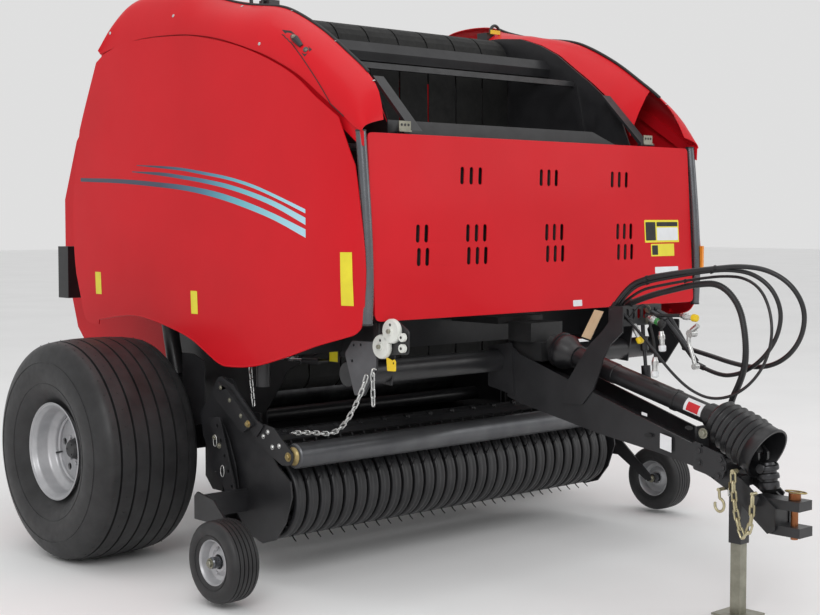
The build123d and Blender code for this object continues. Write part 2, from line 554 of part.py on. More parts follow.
TINE_BARS = 4
with BuildPart() as tine_reel:
    bar_x(30, -1064, 1064, *REEL)
    for s in (-1, 1):
        bar_x(130, s * 1052, s * 1060, *REEL)
    for b in range(TINE_BARS):
        a = radians(65 + 360 * b / TINE_BARS)
        y, z = REEL[0] + 112 * cos(a), REEL[1] + 112 * sin(a)
        bar_x(14, -1056, 1056, y, z)
        for k in range(BANDS - 1):
            x = (k - (BANDS - 2) / 2) * PITCH
            q = (REEL[0] + TINE_R * cos(a), REEL[1] + TINE_R * sin(a))
            bar((x, y, z), (x, q[0], q[1]), 3.5)
save(tine_reel, "tine_reel")

for side, s in SIDES:
    gx = s * GAUGE_X
    with BuildPart() as gauge_tyre:
        bar_x(GAUGE_R, gx - GAUGE_W / 2, gx + GAUGE_W / 2, *GAUGE)
        fillet(gauge_tyre.edges().filter_by(GeomType.CIRCLE), 26)
        bar_x(90, gx - GAUGE_W, gx + GAUGE_W, *GAUGE, mode=Mode.SUBTRACT)
    save(gauge_tyre, "gauge_tyre_" + side)
    with BuildPart() as gauge_rim:
        bar_x(90, gx - 50, gx + 50, *GAUGE)
        for t in (-1, 1):
            bar_x(82, gx + t * 10, gx + t * 60, *GAUGE, mode=Mode.SUBTRACT)
        bar_x(26, gx - 45, gx + 45, *GAUGE)
        bar_x(12 + FIT, gx - 80, gx + 80, *GAUGE, mode=Mode.SUBTRACT)
    save(gauge_rim, "gauge_rim_" + side)

# --------------------------------------------------------------- wind guard
with BuildPart() as wind_guard:
    bar_x(ROLLER_R, -1070, 1070, *ROLLER)
    bar_x(16, -1096, 1096, -1035, 655)
    for s in (-1, 1):
        # arm from the pivot, then a bolted nose plate that holds the roller
        plate_x([(-650, 850), (-700, 886), (-790, 850), (-1000, 705), (-945, 648)], s * 1100, s * 1108)
        plate_x([(-932, 661), (-997, 700), (-1073, 690), (-1115, 655), (-1205, 590), (-1190, 545), (-1130, 540), (-1050, 572), (-951, 620)], s * 1092, s * 1100)
        bar_x(12, s * 1060, s * 1096, *ROLLER)
        bar_x(14 + FIT, s * 1090, s * 1120, *GUARD, mode=Mode.SUBTRACT)
save(wind_guard, "wind_guard")

# ----------------------------------------------------------------- tailgate
GATE_SHEET = [(155, 612), (155, 800), (-130, 2290), (-118, 2360), (60, 2440), (420, 2430), (800, 2290),
              (1080, 2020), (1215, 1700), (1215, 1350), (1090, 1000), (820, 740), (480, 612)]
with BuildPart() as tailgate_frame:
    for s in (-1, 1):
        plate_x(GATE_SHEET, s * SHEET_X - SHEET_T / 2, s * SHEET_X + SHEET_T / 2)
        # hinge arm outboard of the sheets
        plate_x([(-200, 2460), (-250, 2400), (-220, 2340), (60, 2240), (300, 2250), (300, 2420), (60, 2460)], s * 808, s * 820)
        block(s * 790, s * 812, 80, 280, 2260, 2400)
        bar_x(25 + FIT, s * 800, s * 830, *HINGE, mode=Mode.SUBTRACT)
        # rod pin
        bar_x(20, s * 790, s * 856, 250, 1900)
    for y, z, r in ((1120, 1850, 24), (1100, 1100, 24), (620, 690, 24)):
        bar_x(r, -SHEET_X, SHEET_X, y, z)
save(tailgate_frame, "tailgate_frame")

ROLLS_R = [(20, 2380, 50), (860, 2130, 50), (1120, 1500, 60), (860, 850, 60), (300, 720, 70)]
with BuildPart() as rollers_tailgate:
    for y, z, r in ROLLS_R:
        bar_x(r, -785, 785, y, z)
save(rollers_tailgate, "rollers_tailgate")

rear_path = wrap(ROLLS_R, 1, 5, 90, -90)
with BuildPart() as belts_rear:
    for x in BELT_XS:
        plate_x(rear_path, x - BELT_W / 2, x + BELT_W / 2)
save(belts_rear, "belts_rear")

with BuildPart() as tail_lamps:
    for s in (-1, 1):
        block(s * 794, s * 850, 820, 860, 1290, 1340)
        block(s * 850, s * 1040, 760, 860, 1180, 1450)
save(tail_lamps, "tail_lamps")

# -------------------------------------------------------- tailgate cylinders
BASE, EYE = (-20.0, 800.0), (250.0, 1900.0)
L = hypot(EYE[0] - BASE[0], EYE[1] - BASE[1])
uy, uz = (EYE[0] - BASE[0]) / L, (EYE[1] - BASE[1]) / L
for side, s in SIDES:
    with BuildPart() as cylinder:
        bar((s * 885, BASE[0] + 30 * uy, BASE[1] + 30 * uz), (s * 885, BASE[0] + 850 * uy, BASE[1] + 850 * uz), 40)
        bar((s * 885, BASE[0] + 70 * uy, BASE[1] + 70 * uz), (s * 885, BASE[0] + 900 * uy, BASE[1] + 900 * uz), 33, mode=Mode.SUBTRACT)
        bar_x(34, s * 862, s * 908, *BASE)
    save(cylinder, "cylinder_barrel_" + side)
    with BuildPart() as rod:
        bar((s * 885, BASE[0] + 840 * uy, BASE[1] + 840 * uz), (s * 885, EYE[0] - 20 * uy, EYE[1] - 20 * uz), 22)
        bar_x(34, s * 862, s * 908, *EYE)
        bar_x(20.5, s * 860, s * 910, *EYE, mode=Mode.SUBTRACT)
    save(rod, "cylinder_rod_" + side)
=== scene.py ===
import bpy, bmesh, json
from math import sin, cos, pi, radians, degrees, sqrt, hypot, atan2, tan
from mathutils import Vector, Matrix, geometry


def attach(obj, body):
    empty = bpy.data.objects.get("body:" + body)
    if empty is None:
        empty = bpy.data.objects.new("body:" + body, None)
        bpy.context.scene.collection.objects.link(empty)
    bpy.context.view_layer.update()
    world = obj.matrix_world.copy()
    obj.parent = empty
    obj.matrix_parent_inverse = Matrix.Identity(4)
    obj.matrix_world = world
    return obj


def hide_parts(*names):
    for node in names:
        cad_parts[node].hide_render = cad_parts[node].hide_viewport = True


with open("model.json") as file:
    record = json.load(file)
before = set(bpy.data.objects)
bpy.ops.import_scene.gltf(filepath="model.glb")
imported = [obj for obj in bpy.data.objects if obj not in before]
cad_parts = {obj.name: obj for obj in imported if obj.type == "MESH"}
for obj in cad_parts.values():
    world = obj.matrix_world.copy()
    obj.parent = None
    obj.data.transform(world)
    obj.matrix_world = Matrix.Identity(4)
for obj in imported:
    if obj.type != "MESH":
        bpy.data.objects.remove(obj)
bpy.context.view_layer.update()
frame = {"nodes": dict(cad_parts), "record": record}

A = 0.875                     # wheel axle line in the model's frame
COL = bpy.context.scene.collection


def P(x, y, z):
    """A point whose y is measured from the wheel axle line."""
    return Vector((x, y + A, z))


# ================================================================ materials
class Nodes:
    def __init__(self, name):
        self.mat = bpy.data.materials.new(name)
        self.mat.use_nodes = True
        self.t = self.mat.node_tree
        self.b = self.t.nodes["Principled BSDF"]

    def new(self, kind, **kw):
        n = self.t.nodes.new(kind)
        for k, v in kw.items():
            if k.startswith("i_"):
                n.inputs[k[2:].replace("_", " ")].default_value = v
            else:
                setattr(n, k, v)
        return n

    def link(self, a, b):
        self.t.links.new(a, b)

    def coords(self):
        return self.new("ShaderNodeTexCoord").outputs["Object"]

    def noise(self, scale, detail=3.0, rough=0.55, co=None):
        n = self.new("ShaderNodeTexNoise")
        n.inputs["Scale"].default_value = scale
        n.inputs["Detail"].default_value = detail
        n.inputs["Roughness"].default_value = rough
        self.link(co or self.coords(), n.inputs["Vector"])
        return n.outputs["Fac"]

    def ramp(self, fac, stops):
        r = self.new("ShaderNodeValToRGB")
        e = r.color_ramp.elements
        while len(e) < len(stops):
            e.new(0.5)
        for k, (p, c) in enumerate(stops):
            e[k].position = p
            e[k].color = (*c, 1) if len(c) == 3 else c
        self.link(fac, r.inputs["Fac"])
        return r.outputs["Color"]

    def range(self, fac, a, b, lo=0.0, hi=1.0):
        m = self.new("ShaderNodeMapRange")
        m.inputs["From Min"].default_value = lo
        m.inputs["From Max"].default_value = hi
        m.inputs["To Min"].default_value = a
        m.inputs["To Max"].default_value = b
        self.link(fac, m.inputs["Value"])
        return m.outputs["Result"]

    def bump(self, fac, strength, distance):
        n = self.new("ShaderNodeBump")
        n.inputs["Strength"].default_value = strength
        n.inputs["Distance"].default_value = distance
        self.link(fac, n.inputs["Height"])
        prev = self.b.inputs["Normal"]
        if prev.links:
            self.link(prev.links[0].from_socket, n.inputs["Normal"])
        self.link(n.outputs["Normal"], prev)


def surface(name, light, dark, rough=(0.35, 0.5), metal=0.0, scale=6.0, grain=220.0, bump=0.15, dist=0.0006,
            coat=0.0, coat_rough=0.05, spec=0.5, wear=None):
    """Paint, rubber or metal: large soft variation of colour and gloss, with a fine grain."""
    n = Nodes(name)
    big = n.noise(scale, 4.0, 0.6)
    n.link(n.ramp(big, [(0.32, dark), (0.68, light)]), n.b.inputs["Base Color"])
    n.link(n.range(n.noise(scale * 3.1, 5.0, 0.65), rough[0], rough[1], 0.3, 0.7), n.b.inputs["Roughness"])
    n.b.inputs["Metallic"].default_value = metal
    n.b.inputs["Specular IOR Level"].default_value = spec
    if coat:
        n.b.inputs["Coat Weight"].default_value = coat
        n.b.inputs["Coat Roughness"].default_value = coat_rough
    n.bump(n.noise(grain, 2.0, 0.5), bump, dist)
    return n.mat


def srgb(r, g, b):
    f = lambda c: ((c / 255) / 12.92 if c / 255 <= 0.04045 else ((c / 255 + 0.055) / 1.055) ** 2.4)
    return (f(r), f(g), f(b))


RED = surface("red_gloss", srgb(205, 22, 34), srgb(196, 19, 30), (0.34, 0.44), scale=1.6, grain=900, bump=0.03, dist=0.0002,
              coat=0.06, coat_rough=0.09, spec=0.14)
BLACK = surface("black_satin", srgb(41, 41, 43), srgb(29, 29, 31), (0.30, 0.44), scale=7, grain=600, bump=0.08, dist=0.0003)
BLACK_DULL = surface("black_dull", srgb(28, 28, 29), srgb(18, 18, 19), (0.5, 0.66), scale=7, grain=400, bump=0.1, dist=0.0004)
GREY = surface("grey_metallic", srgb(104, 106, 110), srgb(88, 90, 94), (0.24, 0.32), metal=0.75, scale=5, grain=900, bump=0.05,
               dist=0.0002, coat=0.4)
TYRE = surface("tyre_rubber", srgb(47, 47, 48), srgb(33, 33, 34), (0.42, 0.56), scale=9, grain=420, bump=0.22, dist=0.0006, spec=0.4)
BELT = surface("belt_rubber", srgb(36, 36, 35), srgb(26, 26, 26), (0.62, 0.8), scale=14, grain=260, bump=0.5, dist=0.0012, spec=0.3)
HOSE = surface("hose_rubber", srgb(32, 32, 34), srgb(22, 22, 24), (0.30, 0.42), scale=10, grain=700, bump=0.08, dist=0.0003)
PLASTIC = surface("guard_plastic", srgb(34, 34, 36), srgb(24, 24, 26), (0.30, 0.42), scale=9, grain=500, bump=0.1, dist=0.0004)
SILVER = surface("rim_silver", srgb(186, 186, 188), srgb(160, 161, 164), (0.34, 0.46), metal=0.45, scale=6, grain=700, bump=0.08, dist=0.0003)
GREY_PLATE = surface("grey_plate", srgb(96, 96, 99), srgb(80, 80, 83), (0.4, 0.55), metal=0.2, scale=7, grain=600, bump=0.08, dist=0.0003)
DARK_TINE = surface("tine_steel", srgb(46, 46, 48), srgb(32, 32, 34), (0.34, 0.5), metal=0.5, scale=7, grain=600, bump=0.08, dist=0.0003)
STEEL = surface("worn_steel", srgb(120, 120, 122), srgb(86, 86, 88), (0.3, 0.5), metal=0.9, scale=9, grain=400, bump=0.15, dist=0.0004)
DARK_STEEL = surface("dark_steel", srgb(74, 74, 76), srgb(52, 52, 54), (0.26, 0.42), metal=0.8, scale=8, grain=300, bump=0.12, dist=0.0004)
ZINC = surface("zinc_plate", srgb(158, 156, 142), srgb(128, 127, 114), (0.32, 0.48), metal=0.75, scale=12, grain=500, bump=0.12, dist=0.0003)
BRIGHT = surface("bright_zinc", srgb(214, 214, 212), srgb(186, 187, 186), (0.22, 0.36), metal=0.9, scale=16, grain=500, bump=0.08, dist=0.0003)
COPPER = surface("copper_pin", srgb(172, 114, 76), srgb(128, 78, 48), (0.3, 0.45), metal=0.85, scale=14, grain=400, bump=0.15, dist=0.0004)
CHROME = surface("hard_chrome", srgb(225, 226, 228), srgb(205, 206, 210), (0.08, 0.14), metal=1.0, scale=6, grain=800, bump=0.02, dist=0.0002)
YELLOW = surface("yellow_film", srgb(236, 222, 36), srgb(222, 206, 26), (0.36, 0.46), scale=8, grain=900, bump=0.03, dist=0.0002, coat=0.3)
ORANGE = surface("orange_film", srgb(240, 150, 40), srgb(226, 134, 30), (0.3, 0.4), scale=8, grain=900, bump=0.03, dist=0.0002, coat=0.3)
WHITE = surface("white_film", srgb(232, 234, 236), srgb(220, 222, 224), (0.36, 0.46), scale=8, grain=900, bump=0.03, dist=0.0002)
BEIGE = surface("beige_strip", srgb(216, 194, 160), srgb(200, 176, 140), (0.5, 0.6), scale=8, grain=500, bump=0.1, dist=0.0003)
NYLON = surface("pale_nylon", srgb(226, 228, 222), srgb(206, 208, 202), (0.4, 0.5), scale=12, grain=500, bump=0.08, dist=0.0003)
YPLASTIC = surface("yellow_plastic", srgb(240, 205, 30), srgb(224, 188, 20), (0.35, 0.45), scale=9, grain=600, bump=0.06, dist=0.0003)
GREEN = surface("green_plastic", srgb(60, 140, 70), srgb(46, 120, 58), (0.35, 0.45), scale=9, grain=600, bump=0.06, dist=0.0003)

# ============================================================== camera, light
cam_data = bpy.data.cameras.new("camera")
cam = bpy.data.objects.new("camera", cam_data)
COL.objects.link(cam)
cam_data.sensor_width = 36.0
cam_data.lens = 64.76
PITCH, AZ = 3.122, 42.7654
cam.location = (-4.964, -5.242, 1.604)
fwd = Vector((sin(radians(AZ)) * cos(radians(PITCH)), cos(radians(AZ)) * cos(radians(PITCH)), -sin(radians(PITCH))))
cam.rotation_mode = "QUATERNION"
cam.rotation_quaternion = fwd.to_track_quat("-Z", "Y")
cam_data.shift_y = -10.0 / 820
cam_data.clip_start, cam_data.clip_end = 0.05, 200
bpy.context.scene.camera = cam

world = bpy.data.worlds.new("world")
bpy.context.scene.world = world
world.use_nodes = True
wt = world.node_tree
bg = wt.nodes["Background"]
bg.inputs["Color"].default_value = (1, 1, 1, 1)
bg.inputs["Strength"].default_value = 0.74
bpy.context.scene.view_settings.view_transform = "Standard"
bpy.context.scene.view_settings.look = "None"


def area(name, loc, target, size, size_y, power):
    d = bpy.data.lights.new(name, "AREA")
    d.shape, d.size, d.size_y, d.energy = "RECTANGLE", size, size_y, power
    o = bpy.data.objects.new(name, d)
    o.location = loc
    o.rotation_mode = "QUATERNION"
    o.rotation_quaternion = (Vector(target) - Vector(loc)).to_track_quat("-Z", "Y")
    COL.objects.link(o)
    return o


area("key", (-6.5, -6.0, 6.0), (0, -0.4, 1.0), 4.5, 4.5, 270)
area("fill", (6.0, -7.5, 4.5), (0, -1.0, 1.2), 4.0, 4.0, 80)
area("top", (0.0, 0.5, 8.0), (0, 0.2, 0), 6.0, 6.0, 120)

floor_me = bpy.data.meshes.new("floor")
floor_me.from_pydata([(-60, -60, 0), (60, -60, 0), (60, 60, 0), (-60, 60, 0)], [], [(0, 1, 2, 3)])
floor = bpy.data.objects.new("floor", floor_me)
COL.objects.link(floor)
nf = Nodes("floor_pale")
nf.link(nf.ramp(nf.noise(0.7), [(0.3, (0.86, 0.86, 0.86)), (0.7, (0.9, 0.9, 0.9))]), nf.b.inputs["Base Color"])
nf.b.inputs["Roughness"].default_value = 0.75
nf.b.inputs["Specular IOR Level"].default_value = 0.2
floor_me.materials.append(nf.mat)


# ============================================================== mesh builder
class Mesh:
    """Collects solids in one mesh; each add keeps its material's place."""

    def __init__(self):
        self.v, self.f, self.m = [], [], []

    def add(self, verts, faces, mat=0):
        k = len(self.v)
        self.v += [Vector(p) for p in verts]
        self.f += [tuple(i + k for i in face) for face in faces]
        self.m += [mat] * len(faces)

    def prism(self, pts, x0, x1, holes=(), mat=0):
        """Plate with outline pts (y, z) from x0 to x1; y from the axle line."""
        loops = [[Vector((y, z, 0)) for y, z in lp] for lp in [pts] + list(holes)]
        tri = geometry.tessellate_polygon(loops)
        flat = [p for lp in loops for p in lp]
        n = len(flat)
        verts = [P(x0, p.x, p.y) for p in flat] + [P(x1, p.x, p.y) for p in flat]
        faces = [(a, b, c) for a, b, c in tri] + [(c + n, b + n, a + n) for a, b, c in tri]
        k = 0
        for lp in loops:
            m = len(lp)
            faces += [(k + i, k + (i + 1) % m, k + (i + 1) % m + n, k + i + n) for i in range(m)]
            k += m
        self.add(verts, faces, mat)

    def box(self, x0, x1, y0, y1, z0, z1, mat=0):
        v = [P(x, y, z) for x in (x0, x1) for y in (y0, y1) for z in (z0, z1)]
        self.add(v, [(0, 1, 3, 2), (4, 6, 7, 5), (0, 4, 5, 1), (2, 3, 7, 6), (0, 2, 6, 4), (1, 5, 7, 3)], mat)

    def tube(self, pts, r, n=16, mat=0, r1=None, caps=True):
        """Round bar along world points; r may be one radius or one per point."""
        pts = [Vector(p) for p in pts]
        rs = r if isinstance(r, (list, tuple)) else [r + ((r1 if r1 is not None else r) - r) * i / (len(pts) - 1) for i in range(len(pts))]
        t0 = (pts[1] - pts[0]).normalized()
        ref = Vector((0, 0, 1)) if abs(t0.z) < 0.9 else Vector((1, 0, 0))
        u = t0.cross(ref).normalized()
        verts = []
        for i, p in enumerate(pts):
            t = (pts[min(i + 1, len(pts) - 1)] - pts[max(i - 1, 0)]).normalized()
            u = (u - t * u.dot(t)).normalized()
            w = t.cross(u)
            verts += [p + (u * cos(2 * pi * k / n) + w * sin(2 * pi * k / n)) * rs[i] for k in range(n)]
        faces = []
        for i in range(len(pts) - 1):
            faces += [(i * n + k, i * n + (k + 1) % n, (i + 1) * n + (k + 1) % n, (i + 1) * n + k) for k in range(n)]
        if caps:
            faces += [tuple(reversed(range(n))), tuple((len(pts) - 1) * n + k for k in range(n))]
        self.add(verts, faces, mat)

    def lathe(self, centre, axis, prof, n=64, mat=0, closed=True):
        """Revolves (distance along axis, radius) round an axis through centre."""
        a = Vector(axis).normalized()
        u = a.orthogonal().normalized()
        w = a.cross(u)
        c = Vector(centre)
        verts = []
        m = len(prof)
        for k in range(n):
            d = u * cos(2 * pi * k / n) + w * sin(2 * pi * k / n)
            verts += [c + a * x + d * r for x, r in prof]
        faces = []
        for k in range(n):
            for i in range(m if closed else m - 1):
                j = (i + 1) % m
                faces.append((k * m + i, k * m + j, ((k + 1) % n) * m + j, ((k + 1) % n) * m + i))
        self.add(verts, faces, mat)

    def disc(self, centre, axis, r, h, n=24, mat=0):
        a = Vector(axis).normalized()
        self.tube([Vector(centre), Vector(centre) + a * h], r, n, mat)

    def bolt(self, centre, axis, r=0.009, h=0.007, mat=0, washer=True):
        a = Vector(axis).normalized()
        c = Vector(centre)
        if washer:
            self.tube([c - a * 0.001, c + a * 0.002], r * 1.45, 16, mat)
        self.tube([c, c + a * h * 0.8, c + a * h], [r, r, r * 0.86], 6, mat)

    def torus(self, centre, axis, R, r, n=32, k=12, mat=0):
        self.lathe(centre, axis, [(r * cos(2 * pi * i / k), R + r * sin(2 * pi * i / k)) for i in range(k)], n, mat)

    def make(self, name, mats, body, rep=(), slot=None, bevel=0.0, angle=32, seg=2, smooth=True):
        me = bpy.data.meshes.new(name)
        me.from_pydata(self.v, [], self.f)
        for m in (mats if isinstance(mats, (list, tuple)) else [mats]):
            me.materials.append(m)
        me.polygons.foreach_set("material_index", self.m)
        bm = bmesh.new()
        bm.from_mesh(me)
        bmesh.ops.remove_doubles(bm, verts=bm.verts, dist=1e-6)
        bmesh.ops.recalc_face_normals(bm, faces=bm.faces)
        bm.to_mesh(me)
        bm.free()
        if smooth:
            me.shade_smooth()
            me.set_sharp_from_angle(angle=radians(angle))
        o = bpy.data.objects.new(name, me)
        COL.objects.link(o)
        if bevel:
            b = o.modifiers.new("edge", "BEVEL")
            b.width, b.segments, b.limit_method, b.angle_limit = bevel, seg, "ANGLE", radians(38)
            b.harden_normals = True
        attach(o, body)
        if rep:
            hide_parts(*rep)
        return o


def rounded(pts, r, seg=5):
    """Outline with its corners rounded; r is one radius or one per point."""
    n = len(pts)
    rs = r if isinstance(r, (list, tuple)) else [r] * n
    out = []
    for i in range(n):
        p, a, b = Vector(pts[i]).to_2d(), Vector(pts[i - 1]).to_2d(), Vector(pts[(i + 1) % n]).to_2d()
        u, w = (a - p), (b - p)
        lu, lw = u.length, w.length
        u, w = u / lu, w / lw
        ang = u.angle(w)
        if rs[i] <= 0 or ang > pi - 0.02:
            out.append((p.x, p.y))
            continue
        d = min(rs[i] / max(1e-6, tan(ang / 2)), 0.48 * lu, 0.48 * lw)
        s, e = p + u * d, p + w * d
        for k in range(seg + 1):
            t = k / seg
            q = s * (1 - t) ** 2 + p * 2 * t * (1 - t) + e * t ** 2
            out.append((q.x, q.y))
    return out


def circle(y, z, r, n=20):
    return [(y + r * cos(2 * pi * k / n), z + r * sin(2 * pi * k / n)) for k in range(n)]


def smooth_path(pts, step=8):
    """Catmull-Rom points through pts."""
    P_ = [Vector(p) for p in pts]
    P_ = [P_[0] * 2 - P_[1]] + P_ + [P_[-1] * 2 - P_[-2]]
    out = []
    for i in range(1, len(P_) - 2):
        a, b, c, d = P_[i - 1:i + 3]
        for k in range(step):
            t = k / step
            out.append(0.5 * ((2 * b) + (c - a) * t + (2 * a - 5 * b + 4 * c - d) * t * t + (3 * b - a - 3 * c + d) * t ** 3))
    out.append(P_[-2])
    return out


SIDES = (("left", 1), ("right", -1))
SLOTS_ = {s["node"]: s["material_slot"] for s in frame["record"]["subparts"]}
BODIES = {n: b for b, ns in frame["record"]["behaviour"]["bodies"].items() for n in ns}

# ============================================================ hoses and cable
ROUTES = {
    "hose_outer": (0.020, [(-84, -2126, 1238), (-76, -2183, 1315), (-70, -2283, 1353), (-64, -2389, 1371), (-56, -2496, 1386),
         (-39, -2602, 1399), (-12, -2705, 1410), (20, -2807, 1397), (50, -2894, 1343), (75, -2942, 1251),
         (91, -2927, 1147), (101, -2865, 1060), (110, -2773, 1006), (121, -2667, 992), (131, -2560, 1003),
         (141, -2453, 1024), (150, -2346, 1042)]),
    "hose_middle": (0.018, [(-58, -2126, 1238), (-52, -2180, 1305), (-44, -2271, 1336), (-38, -2366, 1354), (-31, -2461, 1371),
          (-21, -2556, 1386), (-6, -2652, 1394), (13, -2745, 1380), (33, -2820, 1324), (50, -2853, 1236),
          (63, -2833, 1144), (73, -2779, 1064), (83, -2706, 1001), (92, -2619, 960), (104, -2524, 948),
          (120, -2434, 973)]),
    "hose_thin": (0.012, [(-34, -2126, 1238), (-32, -2204, 1294), (-22, -2305, 1318), (-10, -2407, 1338), (0, -2510, 1355),
        (2, -2614, 1367), (-9, -2718, 1364), (-28, -2810, 1322), (-47, -2867, 1237), (-62, -2886, 1136),
        (-73, -2863, 1035), (-78, -2802, 951), (-81, -2715, 893), (-81, -2613, 873), (-80, -2513, 901),
        (-79, -2426, 959), (-77, -2347, 1028), (-73, -2268, 1102), (-66, -2185, 1166)]),
    "hose_sleeve": (0.027, [(4, -2146, 1240), (5, -2238, 1274), (0, -2359, 1302), (-6, -2481, 1329), (-10, -2604, 1338),
          (-7, -2693, 1258), (3, -2718, 1137), (32, -2702, 1018), (82, -2638, 925), (125, -2562, 836),
          (124, -2545, 716)]),
}
CENTRE = {}
for name, (dia, route) in ROUTES.items():
    cu = bpy.data.curves.new(name + "_line", "CURVE")
    cu.dimensions = "3D"
    cu.resolution_u = 16
    sp = cu.splines.new("NURBS")
    sp.points.add(len(route) - 1)
    for p, (x, y, z) in zip(sp.points, route):
        p.co = (x / 1000, y / 1000 + A, z / 1000, 1)
    sp.order_u = 3
    sp.use_endpoint_u = True
    line = bpy.data.objects.new(name + "_curve", cu)
    COL.objects.link(line)
    deps = bpy.context.evaluated_depsgraph_get()
    me = bpy.data.meshes.new_from_object(line.evaluated_get(deps))
    CENTRE[name] = [v.co.copy() for v in me.vertices]
    bpy.data.meshes.remove(me)
    if name == "hose_sleeve":
        bpy.data.objects.remove(line)
        continue
    cu.bevel_depth = dia / 2
    cu.bevel_resolution = 5
    cu.materials.append(HOSE)
    x, y, z = route[0]
    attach(line, "chassis")
    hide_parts(name)

# corrugated sleeve: rings along its own line
pts = CENTRE["hose_sleeve"]
total = [0.0]
for a, b in zip(pts, pts[1:]):
    total.append(total[-1] + (b - a).length)
L = total[-1]


def along(pts, total, s):
    for i in range(len(pts) - 1):
        if s <= total[i + 1] or i == len(pts) - 2:
            return pts[i].lerp(pts[i + 1], max(0.0, min(1.0, (s - total[i]) / max(1e-9, total[i + 1] - total[i]))))


rings, radii_ = [], []
N = int(L / 0.0022)
for k in range(N + 1):
    s = L * k / N
    rings.append(along(pts, total, s))
    radii_.append(0.0135 if (k // 2) % 2 == 0 else 0.0119)
sl = Mesh()
sl.tube(rings, radii_, 20)
sleeve = sl.make("hose_sleeve_tube", HOSE, "chassis", rep=("hose_sleeve",), slot="hose_rubber", angle=50)
x, y, z = ROUTES["hose_sleeve"][1][0]

# ================================================================ main wheels
def tyre_profile(out, inner, grooves, gw, gd, seg=6):
    """Closed (x, r) outline: out runs from bead to crown, mirrored, with grooves cut in the crown."""
    side = smooth_path([(x, r, 0) for x, r in out], seg)
    half = [(p.x, p.y) for p in side]
    full = half + [(-x, r) for x, r in reversed(half[:-1])]
    res = []
    for (x0, r0), (x1, r1) in zip(full, full[1:]):
        res.append((x0, r0))
        for g in grooves:
            for e, d in ((g - gw / 2, 0), (g - gw / 2 + 0.0015, gd), (g + gw / 2 - 0.0015, gd), (g + gw / 2, 0)):
                if x0 < e <= x1:
                    r = r0 + (r1 - r0) * (e - x0) / (x1 - x0) - d
                    res.append((e, r))
    res.append(full[-1])
    res = res[:1] + [p for p in res[1:]]
    return res + [(x, r) for x, r in inner]


T_OUT = [(-.204, .208), (-.213, .235), (-.250, .283), (-.271, .340), (-.271, .400), (-.254, .455), (-.228, .492),
         (-.190, .506), (-.100, .515), (0, .5175)]
T_IN = [(.182, .208), (.197, .245), (.238, .298), (.253, .345), (.248, .40), (.232, .44), (.212, .47), (.15, .484), (0, .488),
        (-.15, .484), (-.212, .47), (-.232, .44), (-.248, .40), (-.253, .345), (-.238, .298), (-.197, .245), (-.182, .208)]
T_PROF = tyre_profile(T_OUT, T_IN, [-.178, -.107, -.036, .036, .107, .178], .011, .015, 7)
# thin moulded rings on the sidewalls
for side, s in SIDES:
    c = P(s * 1.33, 0, .5175)
    m = Mesh()
    m.lathe(c, (1, 0, 0), T_PROF, 160)
    for sx in (-1, 1):
        for x, r in ((.2655, .318), (.268, .418)):
            m.torus(c + Vector((sx * x, 0, 0)), (1, 0, 0), r, .0022, 120, 6)
        # moulding nubs around the shoulder ribs
        for k in range(40):
            a = 2 * pi * k / 40
            for x, r in ((.205, .5035), (.142, .5115)):
                q = c + Vector((sx * x, cos(a) * r, sin(a) * r))
                m.disc(q, (0, cos(a), sin(a)), .0022, .003, 6)
    m.make("tyre_tread_" + side, TYRE, "wheel_" + side, rep=("tyre_" + side,), slot="tyre", angle=28)

    m = Mesh()
    e = s
    prof = [(.232, .228), (.2345, .2235), (.231, .219), (.224, .2165), (.219, .211), (.206, .2045), (.160, .2025), (.150, .199),
            (.136, .181), (.124, .1725), (.100, .170), (-.120, .170), (-.150, .199), (-.206, .2045), (-.224, .2165), (-.232, .226),
            (-.226, .214), (-.205, .199), (-.152, .194), (-.124, .164), (.100, .164), (.124, .166), (.134, .172), (.146, .190),
            (.158, .1965), (.204, .1985), (.214, .203), (.221, .211), (.228, .2145)]
    m.lathe(c, (e, 0, 0), prof, 120)
    # stepped ring that the disc is welded to
    m.lathe(c, (e, 0, 0), [(.112, .166), (.118, .158), (.112, .152), (.098, .152), (.098, .166)], 96)
    # hand holes are cut through the disc
    y0, z0 = 0.0, .5175
    holes = [circle(y0 + .122 * cos(radians(60 * k + 10)), z0 + .122 * sin(radians(60 * k + 10)), .017, 18) for k in range(6)]
    holes += [circle(y0, z0, .050, 32)]
    m.prism(circle(y0, z0, .156, 72), c.x + e * .094, c.x + e * .103, holes)
    m.lathe(c, (e, 0, 0), [(.103, .052), (.112, .052), (.112, .078), (.106, .082), (.103, .082)], 64)
    for k in range(8):
        a = 2 * pi * k / 8
        m.bolt(c + Vector((e * .106, .069 * cos(a), .069 * sin(a))), (e, 0, 0), .0105, .014)
    m.make("rim_dish_" + side, SILVER, "wheel_" + side, rep=("rim_" + side,), slot="rim", bevel=.0015, angle=30)
    m = Mesh()
    m.lathe(c, (e, 0, 0), [(.085, .0495), (.135, .0455), (.146, .036), (.149, 0), (.085, 0)], 48, closed=False)
    for k in range(3):
        a = 2 * pi * k / 3
        m.bolt(c + Vector((e * .146, .026 * cos(a), .026 * sin(a))), (e, 0, 0), .0045, .004, washer=False)
    # valve
    m.tube([c + Vector((e * .09, .145, -.03)), c + Vector((e * .135, .150, -.034))], .0042, 10)
    # hub behind the disc
    m.lathe(c, (e, 0, 0), [(-.10, .0495), (.094, .0495), (.094, .088), (.080, .088), (.074, .060), (-.07, .062), (-.10, .058)], 40)
    m.make("hub_cap_" + side, BLACK, "wheel_" + side, slot="black_paint", angle=30)

